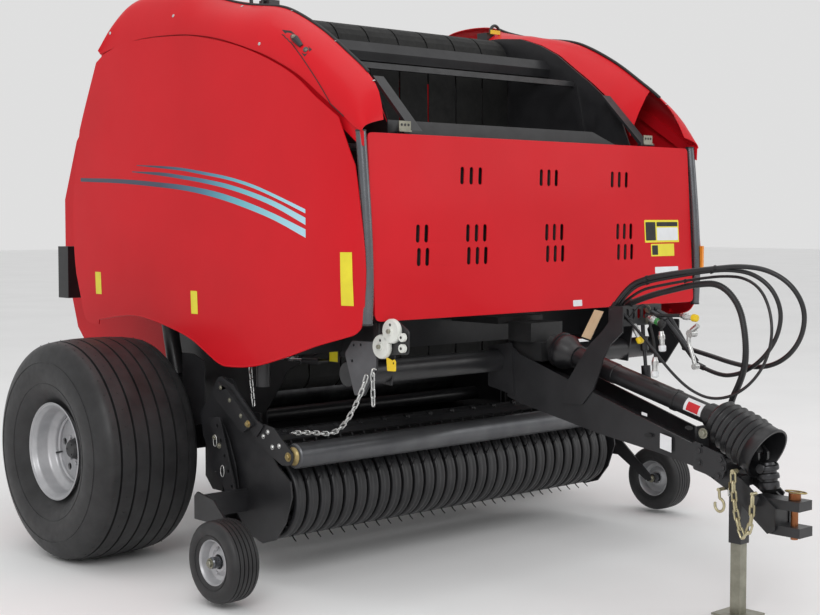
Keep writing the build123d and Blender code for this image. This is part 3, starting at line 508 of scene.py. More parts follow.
# ============================================================== gauge wheels
G_OUT = [(-.052, .090), (-.060, .100), (-.069, .122), (-.069, .146), (-.060, .163), (-.044, .170), (0, .172)]
G_IN = [(.046, .090), (.05, .11), (.05, .14), (.04, .155), (0, .158), (-.04, .155), (-.05, .14), (-.05, .11), (-.046, .090)]
G_PROF = tyre_profile(G_OUT, G_IN, [-.040, -.020, 0.0, .020, .040], .0055, .006, 6)
for side, s in SIDES:
    c = P(s * 1.447, -1.185, .19)
    m = Mesh()
    m.lathe(c, (1, 0, 0), G_PROF, 96)
    for sx in (-1, 1):
        m.torus(c + Vector((sx * .0675, 0, 0)), (1, 0, 0), .112, .0013, 72, 6)
    m.make("gauge_tread_" + side, TYRE, "gauge_wheel_" + side, rep=("gauge_tyre_" + side,), slot="tyre", angle=28)
    m = Mesh()
    prof = [(.056, .097), (.058, .093), (.054, .089), (.046, .086), (.020, .078), (.014, .060), (.026, .040), (.026, .031), (.012, .030),
            (-.012, .030), (-.026, .031), (-.026, .040), (-.014, .060), (-.020, .078), (-.046, .086), (-.054, .089), (-.058, .093), (-.056, .097),
            (-.050, .0935), (-.046, .0905), (.046, .0905), (.050, .0935)]
    m.lathe(c, (s, 0, 0), prof, 72)
    for k in range(5):
        a = 2 * pi * k / 5
        m.bolt(c + Vector((s * .020, .052 * cos(a), .052 * sin(a))), (s, 0, 0), .006, .007)
    m.make("gauge_dish_" + side, SILVER, "gauge_wheel_" + side, rep=("gauge_rim_" + side,), slot="rim", angle=30)
    m = Mesh()
    m.lathe(c, (s, 0, 0), [(-.062, .0125), (-.062, .024), (.060, .024), (.066, .020), (.066, .0125)], 32)
    m.make("gauge_hub_" + side, GREY, "gauge_wheel_" + side, slot="black_paint", angle=30)
    m = Mesh()
    m.bolt(c + Vector((s * .068, 0, 0)), (s, 0, 0), .015, .012)
    m.bolt(c + Vector((s * -.070, 0, 0)), (-s, 0, 0), .015, .010)
    m.make("gauge_axle_nut_" + side, ZINC, "pickup", slot="zinc")

# =============================================================== side shields
SHIELD = [(484, 2041), (541, 1736), (556, 1528), (530, 1250), (463, 1084), (400, 1071), (333, 1071), (323, 1096),
          (27, 1131), (-209, 1109), (-445, 1057), (-576, 1001), (-685, 949), (-776, 940),
          (-961, 958), (-1177, 1011), (-1382, 1071), (-1560, 1116), (-1626, 1138), (-1664, 1180),
          (-1682, 1250), (-1686, 1465), (-1614, 1935), (-1536, 2010), (-1400, 2096),
          (-1250, 2196), (-1050, 2284), (-823, 2357), (-559, 2414), (-369, 2434), (-132, 2444),
          (80, 2436), (243, 2404), (330, 2366)]
XZ = [(900, 1.108), (1000, 1.1165), (1150, 1.1245), (1400, 1.1325), (1750, 1.1355), (2100, 1.130), (2440, 1.118)]


def shield_x(y, z):
    """Outer face of the shield, from the axle-relative y and z in metres."""
    zz = z * 1000
    k = max(i for i in range(len(XZ) - 1) if zz >= XZ[i][0] or i == 0)
    (z0, x0), (z1, x1) = XZ[k], XZ[k + 1]
    t = (zz - z0) / (z1 - z0)
    x = x0 + (x1 - x0) * (t * t * (3 - 2 * t) * 0.35 + t * 0.65)
    # turned in towards the front edge
    f = max(0.0, min(1.0, (-1.36 - y) / .285))
    x -= 0.016 * f * f
    g = max(0.0, min(1.0, (-1.60 - y) / .045))
    x -= 0.004 * g * g
    # and slightly towards the rear
    f = max(0.0, min(1.0, (y + .1) / .65))
    x -= 0.010 * f * f
    return x


def shield_outline():
    """The outline with its long edges made smooth and its corners kept."""
    p = [(y / 1000, z / 1000) for y, z in SHIELD]
    def sm(a, b, step=4):
        q = smooth_path([(y, z, 0) for y, z in p[a:b + 1]], step)
        return [(v.x, v.y) for v in q]
    out = sm(0, 3)[:-1] + rounded([p[3], p[4], p[5], p[6]], [0, .05, .02, 0], 6)[1:-1]
    out += [p[6], p[7]] + sm(7, 13)[1:-1] + sm(13, 17)[:-1] + rounded([p[17], p[18], p[19], p[20]], [0, .06, .05, 0], 6)[1:-1]
    out += sm(20, 22)[:-1] + rounded([p[22], p[23], p[24]], [0, .07, 0], 6)[1:-1] + sm(24, 33)[:-1] + [p[33]]
    return out


def curved_sheet(m, outline, xf, s, thick, step=.035, mat=0, holes=()):
    """Sheet cut to outline (y, z), bent so that x = xf(y, z); thick runs inwards."""
    bm = bmesh.new()
    loops = [[Vector((y, z, 0)) for y, z in lp] for lp in [outline] + list(holes)]
    flat = [v for lp in loops for v in lp]
    vs = [bm.verts.new((0, v.x, v.y)) for v in flat]
    for t in geometry.tessellate_polygon(loops):
        try:
            bm.faces.new([vs[i] for i in t])
        except ValueError:
            pass
    for ax, k in ((2, 2), (1, 1)):
        lo = min(v.co[ax] for v in bm.verts)
        hi = max(v.co[ax] for v in bm.verts)
        c = lo + step
        while c < hi - 1e-4:
            no = Vector((0, 0, 0)); no[ax] = 1
            co = Vector((0, 0, 0)); co[ax] = c
            bmesh.ops.bisect_plane(bm, geom=bm.verts[:] + bm.edges[:] + bm.faces[:], plane_co=co, plane_no=no, dist=1e-6)
            c += step
    bmesh.ops.remove_doubles(bm, verts=bm.verts, dist=1e-5)
    bmesh.ops.dissolve_degenerate(bm, dist=1e-5, edges=bm.edges)
    bm.verts.ensure_lookup_table()
    n = len(bm.verts)
    for i, v in enumerate(bm.verts):
        v.index = i
    out_v = [Vector((s * xf(v.co.y, v.co.z), v.co.y + A, v.co.z)) for v in bm.verts]
    in_v = [Vector((s * (xf(v.co.y, v.co.z) - thick), v.co.y + A, v.co.z)) for v in bm.verts]
    faces = []
    for f in bm.faces:
        ids = [v.index for v in f.verts]
        faces.append(tuple(ids))
        faces.append(tuple(i + n for i in reversed(ids)))
    for e in bm.edges:
        if len(e.link_faces) == 1:
            a, b = e.verts[0].index, e.verts[1].index
            faces.append((a, b, b + n, a + n))
    bm.free()
    m.add(out_v + in_v, faces, mat)


OUTLINE = shield_outline()
for side, s in SIDES:
    m = Mesh()
    curved_sheet(m, OUTLINE, shield_x, s, .005)
    m.make("shield_skin_" + side, RED, "side_shield_" + side, rep=("side_shield_" + side,), slot="shield_paint", bevel=.0016, angle=40)


def band(m, top, bot, s, mat, lift=.0006, step=14):
    """Thin film between two (y, z) edges, each given by the same number of points."""
    n = len(top)
    v, f = [], []
    for (y0, z0), (y1, z1) in zip(top, bot):
        for k in range(3):
            t = k / 2
            y, z = y0 + (y1 - y0) * t, z0 + (z1 - z0) * t
            v.append(Vector((s * (shield_x(y, z) + lift), y + A, z)))
    for i in range(n - 1):
        for k in range(2):
            a = i * 3 + k
            f.append((a, a + 1, a + 4, a + 3))
    m.add(v, f, mat)


# the stripe: one film whose colour runs from navy through teal to pale blue
ns = Nodes("stripe_film")
sep = ns.new("ShaderNodeSeparateXYZ")
ns.link(ns.coords(), sep.inputs[0])
t = ns.range(sep.outputs["Y"], 0.0, 1.0, 0.45 + A, -1.34 + A)
ns.link(ns.ramp(t, [(0.0, srgb(34, 42, 66)), (0.40, srgb(38, 50, 76)), (0.58, srgb(52, 110, 138)), (0.74, srgb(96, 176, 192)),
                    (0.90, srgb(150, 208, 222)), (1.0, srgb(176, 216, 232))]), ns.b.inputs["Base Color"])
ns.link(ns.range(ns.noise(9), 0.3, 0.4), ns.b.inputs["Roughness"])
ns.b.inputs["Coat Weight"].default_value = 0.4
ns.bump(ns.noise(900), 0.02, 0.0002)
STRIPE = ns.mat


def edge(pts, n=26):
    q = smooth_path([(y, z, 0) for y, z in pts], 8)
    tot = [0.0]
    for a, b in zip(q, q[1:]):
        tot.append(tot[-1] + (b - a).length)
    return [(v.x, v.y) for v in (along(q, tot, tot[-1] * k / (n - 1)) for k in range(n))]


BANDS3 = [
    ([(.470, 1.800), (.078, 1.787), (-.277, 1.764), (-.477, 1.747), (-.701, 1.718), (-.913, 1.675), (-1.130, 1.618), (-1.340, 1.553)],
     [(.470, 1.782), (.078, 1.766), (-.277, 1.741), (-.477, 1.723), (-.701, 1.690), (-.913, 1.646), (-1.130, 1.590), (-1.340, 1.518)]),
    ([(-.020, 1.822), (-.278, 1.811), (-.445, 1.794), (-.607, 1.776), (-.794, 1.749), (-.973, 1.712), (-1.145, 1.667), (-1.340, 1.601)],
     [(-.020, 1.818), (-.278, 1.795), (-.445, 1.777), (-.607, 1.757), (-.794, 1.728), (-.973, 1.690), (-1.145, 1.642), (-1.340, 1.571)]),
    ([(-.060, 1.851), (-.278, 1.841), (-.446, 1.828), (-.607, 1.808), (-.794, 1.782), (-.973, 1.746), (-1.145, 1.697), (-1.340, 1.636)],
     [(-.060, 1.848), (-.278, 1.830), (-.446, 1.815), (-.607, 1.794), (-.794, 1.768), (-.973, 1.731), (-1.145, 1.682), (-1.340, 1.619)]),
]
for side, s in SIDES:
    m = Mesh()
    for top, bot in BANDS3:
        band(m, edge(top), edge(bot), s, 0)
    m.make("stripe_" + side, STRIPE, "side_shield_" + side, slot="shield_paint", angle=60)
    m = Mesh()
    band(m, [(-1.552, 1.462), (-1.585, 1.4625), (-1.618, 1.463)], [(-1.552, 1.246), (-1.585, 1.2465), (-1.622, 1.247)], s, 0, .0012)
    for y0, y1, z0, z1 in ((.343, .288, 1.222, 1.332), (-.493, -.545, 1.163, 1.268)):
        band(m, [(y0, z1), (y1, z1)], [(y0, z0), (y1, z0)], s, 0, .0009)
    m.make("shield_labels_" + side, YELLOW if s < 0 else ORANGE if False else YELLOW, "side_shield_" + side, slot="shield_paint", angle=60)
    # latch pins and the folded lower edge
    m = Mesh()
    for y, z in ((.12, 1.16), (-.60, 1.02), (-1.50, 1.13)):
        m.disc((s * (shield_x(y, z) - .022), y + A, z), (s, 0, 0), .010, .018, 14)
    low = [(y / 1000, z / 1000) for y, z in SHIELD[7:20]]
    q = smooth_path([(y, z, 0) for y, z in low], 5)
    m.tube([Vector((s * (shield_x(v.x, v.y) - .0035), v.x + A, v.y + .001)) for v in q], .0048, 10)
    m.make("shield_hem_" + side, RED, "side_shield_" + side, slot="shield_paint", angle=50)

# ================================================================= roof caps
CAP = [(300, 2405, 2430, 1100), (200, 2420, 2545, 1080), (80, 2436, 2640, 1045), (-100, 2448, 2668, 1015),
       (-340, 2443, 2657, 985), (-513, 2427, 2604, 968), (-712, 2392, 2556, 965), (-950, 2325, 2522, 965),
       (-1087, 2277, 2477, 965), (-1262, 2198, 2387, 965), (-1417, 2100, 2284, 965), (-1540, 2022, 2195, 965),
       (-1620, 1966, 2110, 975), (-1668, 1946, 2000, 995)]


def cap_station(y):
    """Seam height, crest height, crest x at y (metres), smooth through the table."""
    t = [(a / 1000, b / 1000, c / 1000, d / 1000) for a, b, c, d in CAP]
    q = smooth_path([(a, b, c) for a, b, c, d in t], 12)
    qx = smooth_path([(a, d, 0) for a, b, c, d in t], 12)
    for i in range(len(q) - 1):
        if q[i].x >= y >= q[i + 1].x or i == len(q) - 2:
            f = (q[i].x - y) / max(1e-9, q[i].x - q[i + 1].x)
            f = max(0.0, min(1.0, f))
            a, b = q[i].lerp(q[i + 1], f), qx[i].lerp(qx[i + 1], f)
            return a.y, a.z, b.y


def cap_point(y, u, s, off=0.0):
    """u = 0 at the seam, 1 at the crest."""
    zs, zc, xc = cap_station(y)
    p = [Vector((1.112, 0, zs)), Vector((1.112, 0, zs + .62 * (zc - zs))), Vector((xc + .045, 0, zc - .01)), Vector((xc, 0, zc))]
    a = (1 - u) ** 3 * p[0] + 3 * u * (1 - u) ** 2 * p[1] + 3 * u * u * (1 - u) * p[2] + u ** 3 * p[3]
    d = 3 * (1 - u) ** 2 * (p[1] - p[0]) + 6 * u * (1 - u) * (p[2] - p[1]) + 3 * u * u * (p[3] - p[2])
    n = Vector((d.z, 0, -d.x)).normalized()
    a = a + n * off
    return Vector((s * a.x, y + A, a.z))


for side, s in SIDES:
    m = Mesh()
    ys = [.300 - 1.968 * k / 80 for k in range(81)]
    nu = 16
    for off, flip in ((0.0, 0), (-.005, 1)):
        v = [cap_point(y, k / nu, s, off) for y in ys for k in range(nu + 1)]
        f = []
        for i in range(len(ys) - 1):
            for k in range(nu):
                a = i * (nu + 1) + k
                f.append((a, a + 1, a + nu + 2, a + nu + 1))
        m.add(v, f)
    n = len(ys) * (nu + 1)
    rim = [(i * (nu + 1)) for i in range(len(ys))] + [(len(ys) - 1) * (nu + 1) + k for k in range(1, nu + 1)] + \
          [(i * (nu + 1) + nu) for i in range(len(ys) - 2, -1, -1)] + [k for k in range(nu - 1, 0, -1)]
    m.f += [(a, b, b + n, a + n) for a, b in zip(rim, rim[1:] + rim[:1])]
    m.m += [0] * len(rim)
    m.make("cap_shell_" + side, RED, "chassis", slot="red_panel", angle=45, bevel=.0012)
    m = Mesh()
    v, f = [], []
    for y in ys[::2]:
        zs = cap_station(y)[0]
        for dx, dz in ((0.0, .004), (-.009, -.004), (-.012, -.060), (-.015, -.060), (-.013, -.002), (-.005, .004)):
            v.append(Vector((s * (1.112 + dx), y + A, zs + dz)))
    for i in range(len(ys[::2]) - 1):
        for k in range(6):
            a, b = i * 6 + k, i * 6 + (k + 1) % 6
            f.append((a, b, b + 6, a + 6))
    f += [tuple(range(6)), tuple(range(len(v) - 6, len(v)))]
    m.add(v, f)
    m.make("cap_skirt_" + side, RED, "chassis", slot="red_panel", angle=40)
    # black edging along the crest, a black line along the fold that is painted shade at the crease, and screws
    m = Mesh()
    m.tube([cap_point(y, 1.0, s, .002) + Vector((-s * .004, 0, 0)) for y in [-.42 - 1.12 * k / 40 for k in range(41)]], .0075, 10)
    m.make("cap_edging_" + side, BLACK_DULL, "chassis", slot="black_paint")
    m = Mesh()
    # black line along the fold: painted shade at the crease
    fold = [(-1.117, 2.379), (-1.20, 2.325), (-1.30, 2.245), (-1.40, 2.150), (-1.47, 2.070), (-1.515, 2.005), (-1.56, 1.985)]
    line = []
    for p in smooth_path([(y, z, 0) for y, z in fold], 6):
        zs, zc, xc = cap_station(p.x)
        best = min((abs(cap_point(p.x, u / 60, s).z - p.y), u / 60) for u in range(61))
        line.append(cap_point(p.x, best[1], s, .0004))
    m.tube(line, .0022, 6)
    m.make("cap_fold_shade_line_" + side, BLACK_DULL, "chassis", slot="black_paint")
    m = Mesh()
    for y, z in ((-.327, 2.533), (.20, 2.50), (-.997, 2.345), (-1.044, 2.495), (-1.336, 2.367), (-1.58, 2.178), (-.72, 2.545)):
        best = min((abs(cap_point(y, u / 60, s).z - z), u / 60) for u in range(61))
        q = cap_point(y, best[1], s)
        w = cap_point(y, best[1], s, .004) - q
        m.lathe(q, w, [(0, 0), (0, .008), (.002, .007), (.0035, .003), (.0037, 0)], 14, closed=False)
    m.make("cap_screws_" + side, BRIGHT, "chassis", slot="zinc")
# ---- latches standing in cut-outs of the caps; each cut-out is a thin dark sheet on the cap, painted shade for its hollow
for side, s in SIDES:
    # the dark sheet is painted shade standing in for the cut-out's hollow
    m = Mesh()
    pts = []
    for y, z in ((-1.104, 2.400), (-1.150, 2.392), (-1.300, 2.300), (-1.285, 2.272)):
        best = min((abs(cap_point(y, u / 60, s).z - z), u / 60) for u in range(61))
        pts.append((y, best[1]))
    q = [cap_point(y, u, s, .0012) for y, u in pts]
    m.add(q + [p + Vector((0, 0, -.0016)) for p in q], [(0, 1, 2, 3), (7, 6, 5, 4), (0, 4, 5, 1), (1, 5, 6, 2), (2, 6, 7, 3), (3, 7, 4, 0)])
    m.make("latch_recess_shade_" + side, BLACK_DULL, "chassis", slot="black_paint", smooth=False)
    m = Mesh()
    c = (q[0] + q[1] + q[2] + q[3]) / 4
    nrm = (cap_point(pts[1][0], pts[1][1], s, .02) - cap_point(pts[1][0], pts[1][1], s)).normalized()
    m.tube([c + nrm * .004 + Vector((0, .03, .02)), c + nrm * .016, c + nrm * .006 + Vector((0, -.035, -.028))], [.010, .016, .010], 10)
    m.tube([c + nrm * .004, c + nrm * .030], .008, 12)
    m.tube([c + nrm * .004 + Vector((0, -.06, -.045)), c + nrm * .014 + Vector((0, -.07, -.05))], .012, 12)
    m.make("latch_lever_" + side, BLACK, "chassis", slot="black_paint", bevel=.001)
    m = Mesh()
    m.bolt(c + nrm * .028, nrm, .007, .006)
    m.bolt(c + nrm * .012 + Vector((0, -.07, -.05)), nrm, .005, .005)
    m.make("latch_bolts_" + side, ZINC, "chassis", slot="zinc")
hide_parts("roof_caps")

# =============================================================== front panel
PT, PL = Vector((0, -1.640, 1.950)), Vector((0, -1.688, 1.178))
PH = (PL - PT).length
pdn = (PL - PT).normalized()                     # down the panel
pn = Vector((0, pdn.z, -pdn.y))                  # forwards
if pn.y > 0:
    pn = -pn


def on_panel(x, d, off=0.0):
    """Point at x across, d below the hinge line, off in front of the face."""
    q = PT + pdn * d + pn * off
    return Vector((x, q.y + A, q.z))


def panel_face(m, loop, holes, x_off, t, mat=0):
    """Sheet in the panel's plane; loops are (x, depth)."""
    loops = [[Vector((x, d, 0)) for x, d in lp] for lp in [loop] + list(holes)]
    tri = geometry.tessellate_polygon(loops)
    flat = [p for lp in loops for p in lp]
    n = len(flat)
    verts = [on_panel(p.x, p.y, x_off) for p in flat] + [on_panel(p.x, p.y, x_off - t) for p in flat]
    faces = [tuple(a) for a in tri] + [(c + n, b + n, a + n) for a, b, c in tri]
    k = 0
    for lp in loops:
        q = len(lp)
        faces += [(k + i, k + (i + 1) % q, k + (i + 1) % q + n, k + i + n) for i in range(q)]
        k += q
    m.add(verts, faces, mat)


def slot_loop(x, d, h=.076, w=.022, tilt=6):
    r = w / 2
    pts = []
    for k in range(14):
        a = pi * k / 13
        pts.append((r * cos(a), h / 2 - r * 1.0 + r * 2.0 * sin(a) * .5 + 0))
    for k in range(14):
        a = pi + pi * k / 13
        pts.append((r * cos(a), -(h / 2 - r) + r * sin(a)))
    ca, sa = cos(radians(tilt)), sin(radians(tilt))
    return [(x + px * ca - pd * sa, d + px * sa + pd * ca) for px, pd in pts]


VENTS = [(x, .170) for x in (-.530, -.475, -.421, -.031, .020, .070, .465, .517, .569)]
VENTS += [(x, d) for d in (.415, .512) for x in (-.802, -.754, -.510, -.458, -.407, -.009, .042, .092, .490, .539, .587)]
W = 2.112 / 2
m = Mesh()
loop = rounded([(-W, .006), (W, .006), (W, PH - .006), (-W, PH - .006)], [.022, .022, .030, .030], 8)
panel_face(m, loop, [slot_loop(x, d) for x, d in VENTS], 0.0, .004)
# folded edges
for x in (-W + .004, W - .004):
    m.tube([on_panel(x, .03, -.006), on_panel(x, PH - .03, -.006)], .0055, 10)
m.tube([on_panel(-W + .03, PH - .010, -.006), on_panel(W - .03, PH - .010, -.006)], .0055, 10)
m.tube([on_panel(-W + .03, .010, -.006), on_panel(W - .03, .010, -.006)], .0055, 10)
m.make("panel_skin", RED, "front_panel", rep=("front_panel",), slot="red_panel", bevel=.0012, angle=40)
# dark sheet behind the vents: painted shade for the dark inside seen through the slots
m = Mesh()
panel_face(m, [(-W + .05, .05), (W - .05, .05), (W - .05, PH - .06), (-W + .05, PH - .06)], [], -.020, .003)
m.make("panel_vent_shade_sheet", BLACK_DULL, "front_panel", slot="black_paint", smooth=False)


def label(m, x0, x1, d0, d1, off=.0008, mat=0, r=.004):
    panel_face(m, rounded([(x0, d0), (x1, d0), (x1, d1), (x0, d1)], r, 3), [], off, .0006, mat)


def yz(y, z, x=0.0):
    return P(x, y, z)


def between(p, q, t):
    return Vector(p).lerp(Vector(q), t)


def chain(m, pts, pitch=0.028, wire=0.0035, mat=0):
    """Links of bent wire along a line, every other one turned a quarter."""
    tot = [0.0]
    for a, b in zip(pts, pts[1:]):
        tot.append(tot[-1] + (b - a).length)
    n = max(2, int(tot[-1] / pitch))
    for k in range(n):
        a, b = along(pts, tot, tot[-1] * k / n), along(pts, tot, tot[-1] * (k + 1) / n)
        t = (b - a).normalized()
        side = t.cross(Vector((1, 0.2, 0.1))).normalized()
        if k % 2:
            side = t.cross(side).normalized()
        c, hl, hw = (a + b) / 2, pitch * 0.42, pitch * 0.27
        loop = []
        for i in range(6):
            u = -pi / 2 + pi * i / 5
            loop.append(c + t * (hl + hw * 0.9 * cos(u)) + side * hw * sin(u))
        for i in range(6):
            u = pi / 2 + pi * i / 5
            loop.append(c + t * (-hl + hw * 0.9 * cos(u)) + side * hw * sin(u))
        m.tube(loop + [loop[0], loop[1]], wire, 6, mat, caps=False)


# ================================================================= driveline
T0, T1, MO = P(0, -1.775, 1.004), P(0, -2.600, 0.786), P(0, -2.830, 0.668)
ax = (T1 - T0).normalized()
m = Mesh()
m.lathe(P(0, -1.742, 1.013), ax, [(0, .052), (0, .080), (.008, .080), (.010, .074), (.026, .074), (.030, .080), (.046, .079), (.075, .060),
                                  (.110, .052), (.112, .030), (.04, .030)], 48)
m.lathe(T0, ax, [(.05, .0), (.05, .045), (.30, .045), (.302, .0425), (.62, .0425), (.622, .046), (.64, .046), (.642, .0425), (.80, .0425), (.805, .050),
                 (.845, .050), (.85, .0)], 40)
bx = (MO - T1).normalized()
blen = (MO - T1).length
outer, inner = [(-.004, .050), (-.004, .078), (.004, .084)], []
ribs = 6
for k in range(ribs):
    for j in range(6):
        t = (k + j / 6) / ribs
        r = .082 + .021 * sin(pi * 0.5 * t)
        outer.append((.006 + (blen - .066) * t, r + .0065 * cos(2 * pi * j / 6)))
outer += [(blen - .056, .100), (blen - .052, .104), (blen - .012, .108), (blen - .010, .112), (blen, .112)]
inner = [(blen, .104), (blen - .02, .101), (blen - .06, .096), (.10, .080), (.012, .072), (.012, .050)]
m.lathe(T1, bx, outer + inner, 72)
# inner yoke and joint inside the mouth
m.tube([T1 + bx * .004, T1 + bx * .10, P(0, -2.766, .668)], .024, 20)
m.tube([P(0, -2.752, .690), P(0, -2.778, .655)], .034, 24)
for x in (-.032, .032):
    m.prism(rounded([(-2.750, .672), (-2.786, .640), (-2.812, .640), (-2.812, .672), (-2.786, .700), (-2.756, .704)], .010, 3), x - .007, x + .007)
m.make("driveline_guard", PLASTIC, "chassis", rep=("driveline",), slot="guard_plastic", angle=48)
# label sheet round the tube, left blank but for its red field
m = Mesh()
c0 = T0 + ax * .700
u = Vector((1, 0, 0))
w = ax.cross(u).normalized()
if w.z < 0:
    w = -w
for (a0, a1, s0, s1, mt, rr) in ((118, 196, .0, .088, 0, .0436), (140, 190, .014, .074, 1, .0440)):
    v, f = [], []
    for i in range(9):
        an = radians(a0 + (a1 - a0) * i / 8)
        d = u * cos(an) + w * sin(an)
        for s_ in (s0, s1):
            for r_ in (rr - .001, rr):
                v.append(c0 + ax * s_ + d * r_)
    for i in range(8):
        k = i * 4
        f += [(k + 1, k + 5, k + 7, k + 3), (k, k + 2, k + 6, k + 4), (k, k + 4, k + 5, k + 1), (k + 2, k + 3, k + 7, k + 6)]
    f += [(0, 1, 3, 2), (32, 34, 35, 33)]
    m.add(v, f, mt)
REDLAB = surface("red_film", srgb(206, 40, 48), srgb(196, 32, 40), (0.4, 0.5), scale=8, grain=900, bump=0.03, dist=0.0002)
m.make("guard_label", (WHITE, REDLAB), "chassis", slot="guard_plastic", bevel=0)

m = Mesh()
Y0, Y1 = P(0, -2.828, .632), P(0, -2.842, .532)
yx = (Y1 - Y0).normalized()
m.lathe(Y0, yx, [(-.004, .0), (-.004, .026), (.006, .030), (.010, .044), (.018, .046), (.026, .044), (.028, .036), (.036, .034), (.040, .042),
                 (.054, .045), (.060, .043), (.062, .036), (.070, .034), (.074, .040), (.090, .041), (.1005, .038), (.1010, .0176), (.050, .0176), (.050, .0)], 40)
m.tube([P(-.050, -2.8302, .616), P(.050, -2.8302, .616)], .0150, 20)
for x in (-.050, .050):
    m.tube([P(x - .004, -2.8302, .616), P(x + .004, -2.8302, .616)], .0185, 20)
m.make("pto_yoke_skin", DARK_STEEL, "pto_yoke", rep=("pto_yoke",), slot=SLOTS_["pto_yoke"], angle=40)

# ================================================================ wind guard
GOLD_ZINC = surface("gold_zinc", srgb(178, 160, 112), srgb(150, 132, 88), (0.32, 0.46), metal=0.7, scale=14, grain=500, bump=0.1, dist=0.0004)
ROLL_GREY = surface("roller_grey", srgb(104, 105, 107), srgb(86, 87, 90), (0.3, 0.42), metal=0.6, scale=6, grain=500, bump=0.08, dist=0.0003)
m = Mesh()
RY, RZ = -1.172, .580
m.lathe(P(-1.0695, RY, RZ), (1, 0, 0), [(0, .0), (0, .040), (.002, .050), (.008, .0545), (2.131, .0545), (2.137, .050), (2.139, .040), (2.139, .0)], 56, mat=5)
for s in (-1, 1):
    # zinc dome and copper nut at each end
    m.lathe(P(s * 1.0690, RY, RZ), (s, 0, 0), [(0, .0), (0, .040), (.003, .041), (.009, .038), (.016, .030), (.020, .016), (.020, .0)], 40, mat=2)
    m.tube([P(s * 1.084, RY, RZ), P(s * 1.0960, RY, RZ)], .011, 16, mat=2)
    m.bolt(P(s * 1.0990, RY, RZ), (s, 0, 0), .014, .010, mat=2)
    arm = rounded([(-.645, .852), (-.690, .892), (-.790, .858), (-.962, .716), (-1.012, .700), (-.955, .640)], [.02, .03, .02, .01, .01, .01], 4)
    m.prism(arm, s * 1.0995, s * 1.1085, holes=[circle(-.690, .850, .01406, 24)], mat=3)
    nose = rounded([(-.930, .661), (-.992, .704), (-1.073, .694), (-1.118, .658), (-1.206, .596), (-1.192, .545), (-1.130, .538), (-1.050, .572), (-.951, .620)],
                   [.01, .015, .02, .03, .04, .03, .03, .02, .01], 4)
    m.prism(nose, s * 1.0915, s * 1.0993, mat=3)
    for y, z in ((-.965, .676), (-.998, .650), (-1.030, .672), (-1.062, .610), (-1.110, .620)):
        m.bolt(P(s * 1.0995, y, z), (s, 0, 0), .008, .006, mat=4)
    # covered channel over the arm
    cov = rounded([(-.703, .866), (-.765, .842), (-.955, .697), (-.880, .655), (-.655, .806)], .008, 3)
    m.prism(cov, s * 1.109, s * 1.128, mat=3)
    for y, z in ((-.722, .842), (-.790, .792), (-.872, .730)):
        m.bolt(P(s * 1.128, y, z), (s, 0, 0), .007, .005, mat=1)
    m.bolt(P(s * 1.128, -.925, .700), (s, 0, 0), .011, .012, mat=2)
# pivot rod, knobbed strip and the rods behind it
m.tube([P(-1.096, -1.035, .655), P(1.096, -1.035, .655)], .0155, 16, mat=3)
m.prism([(-1.020, .668), (-1.062, .652), (-1.066, .658), (-1.022, .675)], -1.085, 1.085, mat=3)
m.prism([(-1.062, .652), (-1.066, .658), (-1.086, .640), (-1.082, .635)], -1.085, 1.085, mat=3)
for k in range(15):
    x = -1.02 + 2.04 * k / 14
    m.tube([P(x - .012, -1.040, .668), P(x + .012, -1.040, .668)], .012, 12, mat=3)
    m.bolt(P(x, -1.052, .6625), (0, -.4, 1), .006, .008, mat=3, washer=False)
for k in range(30):
    x = (k - 14.5) * .070
    m.tube([P(x, -1.078, .640), P(x, -1.092, .622)], .0042, 6, mat=3)
    m.tube(smooth_path([P(x, -1.030, .641), P(x, -.985, .622), P(x, -.86, .6175), P(x, -.735, .622)], 4), .0042, 6, mat=3)
m.make("wind_guard_skin", (DARK_STEEL, ZINC, GOLD_ZINC, BLACK, BRIGHT, ROLL_GREY), "wind_guard", rep=("wind_guard",), slot=SLOTS_["wind_guard"], bevel=.0008, seg=1)

# =========================================================== stripper bands
RC = Vector((-.965, .380))
path = [(RC.x + .300, RC.y + .165)]
for k in range(25):
    a = radians(100 + 160 * k / 24)
    path.append((RC.x + .195 * cos(a), RC.y + .195 * sin(a)))
path.append((RC.x + .330, RC.y - .160))
CROSS = [(-.028, -.015), (-.027, -.006), (-.0235, -.0015), (-.016, 0.0), (-.008, .0), (-.005, -.002), (.005, -.002), (.008, .0), (.016, 0.0), (.0235, -.0015), (.027, -.006), (.028, -.015)]
CROSS += [(x, d - .0022) for x, d in reversed(CROSS)]
m = Mesh()
n = len(path)
dirs = []
for i in range(n):
    a, b = Vector(path[max(0, i - 1)]), Vector(path[min(n - 1, i + 1)])
    t = (b - a).normalized()
    nrm = Vector((t.y, -t.x))
    if nrm.dot(Vector(path[i]) - RC) < 0:
        nrm = -nrm
    dirs.append(nrm)
k0 = len(CROSS)
for b in range(30):
    x = (b - 14.5) * .070
    v, f = [], []
    for (y, z), d in zip(path, dirs):
        v += [P(x + cx, y + d.x * dz, z + d.y * dz) for cx, dz in CROSS]
    for i in range(n - 1):
        f += [(i * k0 + j, i * k0 + (j + 1) % k0, (i + 1) * k0 + (j + 1) % k0, (i + 1) * k0 + j) for j in range(k0)]
    f += [tuple(range(k0)), tuple(range((n - 1) * k0, n * k0))]
    m.add(v, f)
# dark sheet behind the band ends: painted shade, so the gaps between the bands read dark
m.prism([(-.673, .555), (-.673, .515), (-.643, .230), (-.643, .200), (-.635, .200), (-.635, .230), (-.665, .515), (-.665, .555)], -1.074, 1.074, mat=1)
m.make("stripper_band_set", (BLACK, BLACK_DULL), "pickup", rep=("stripper_bands",), slot=SLOTS_["stripper_bands"], angle=50)

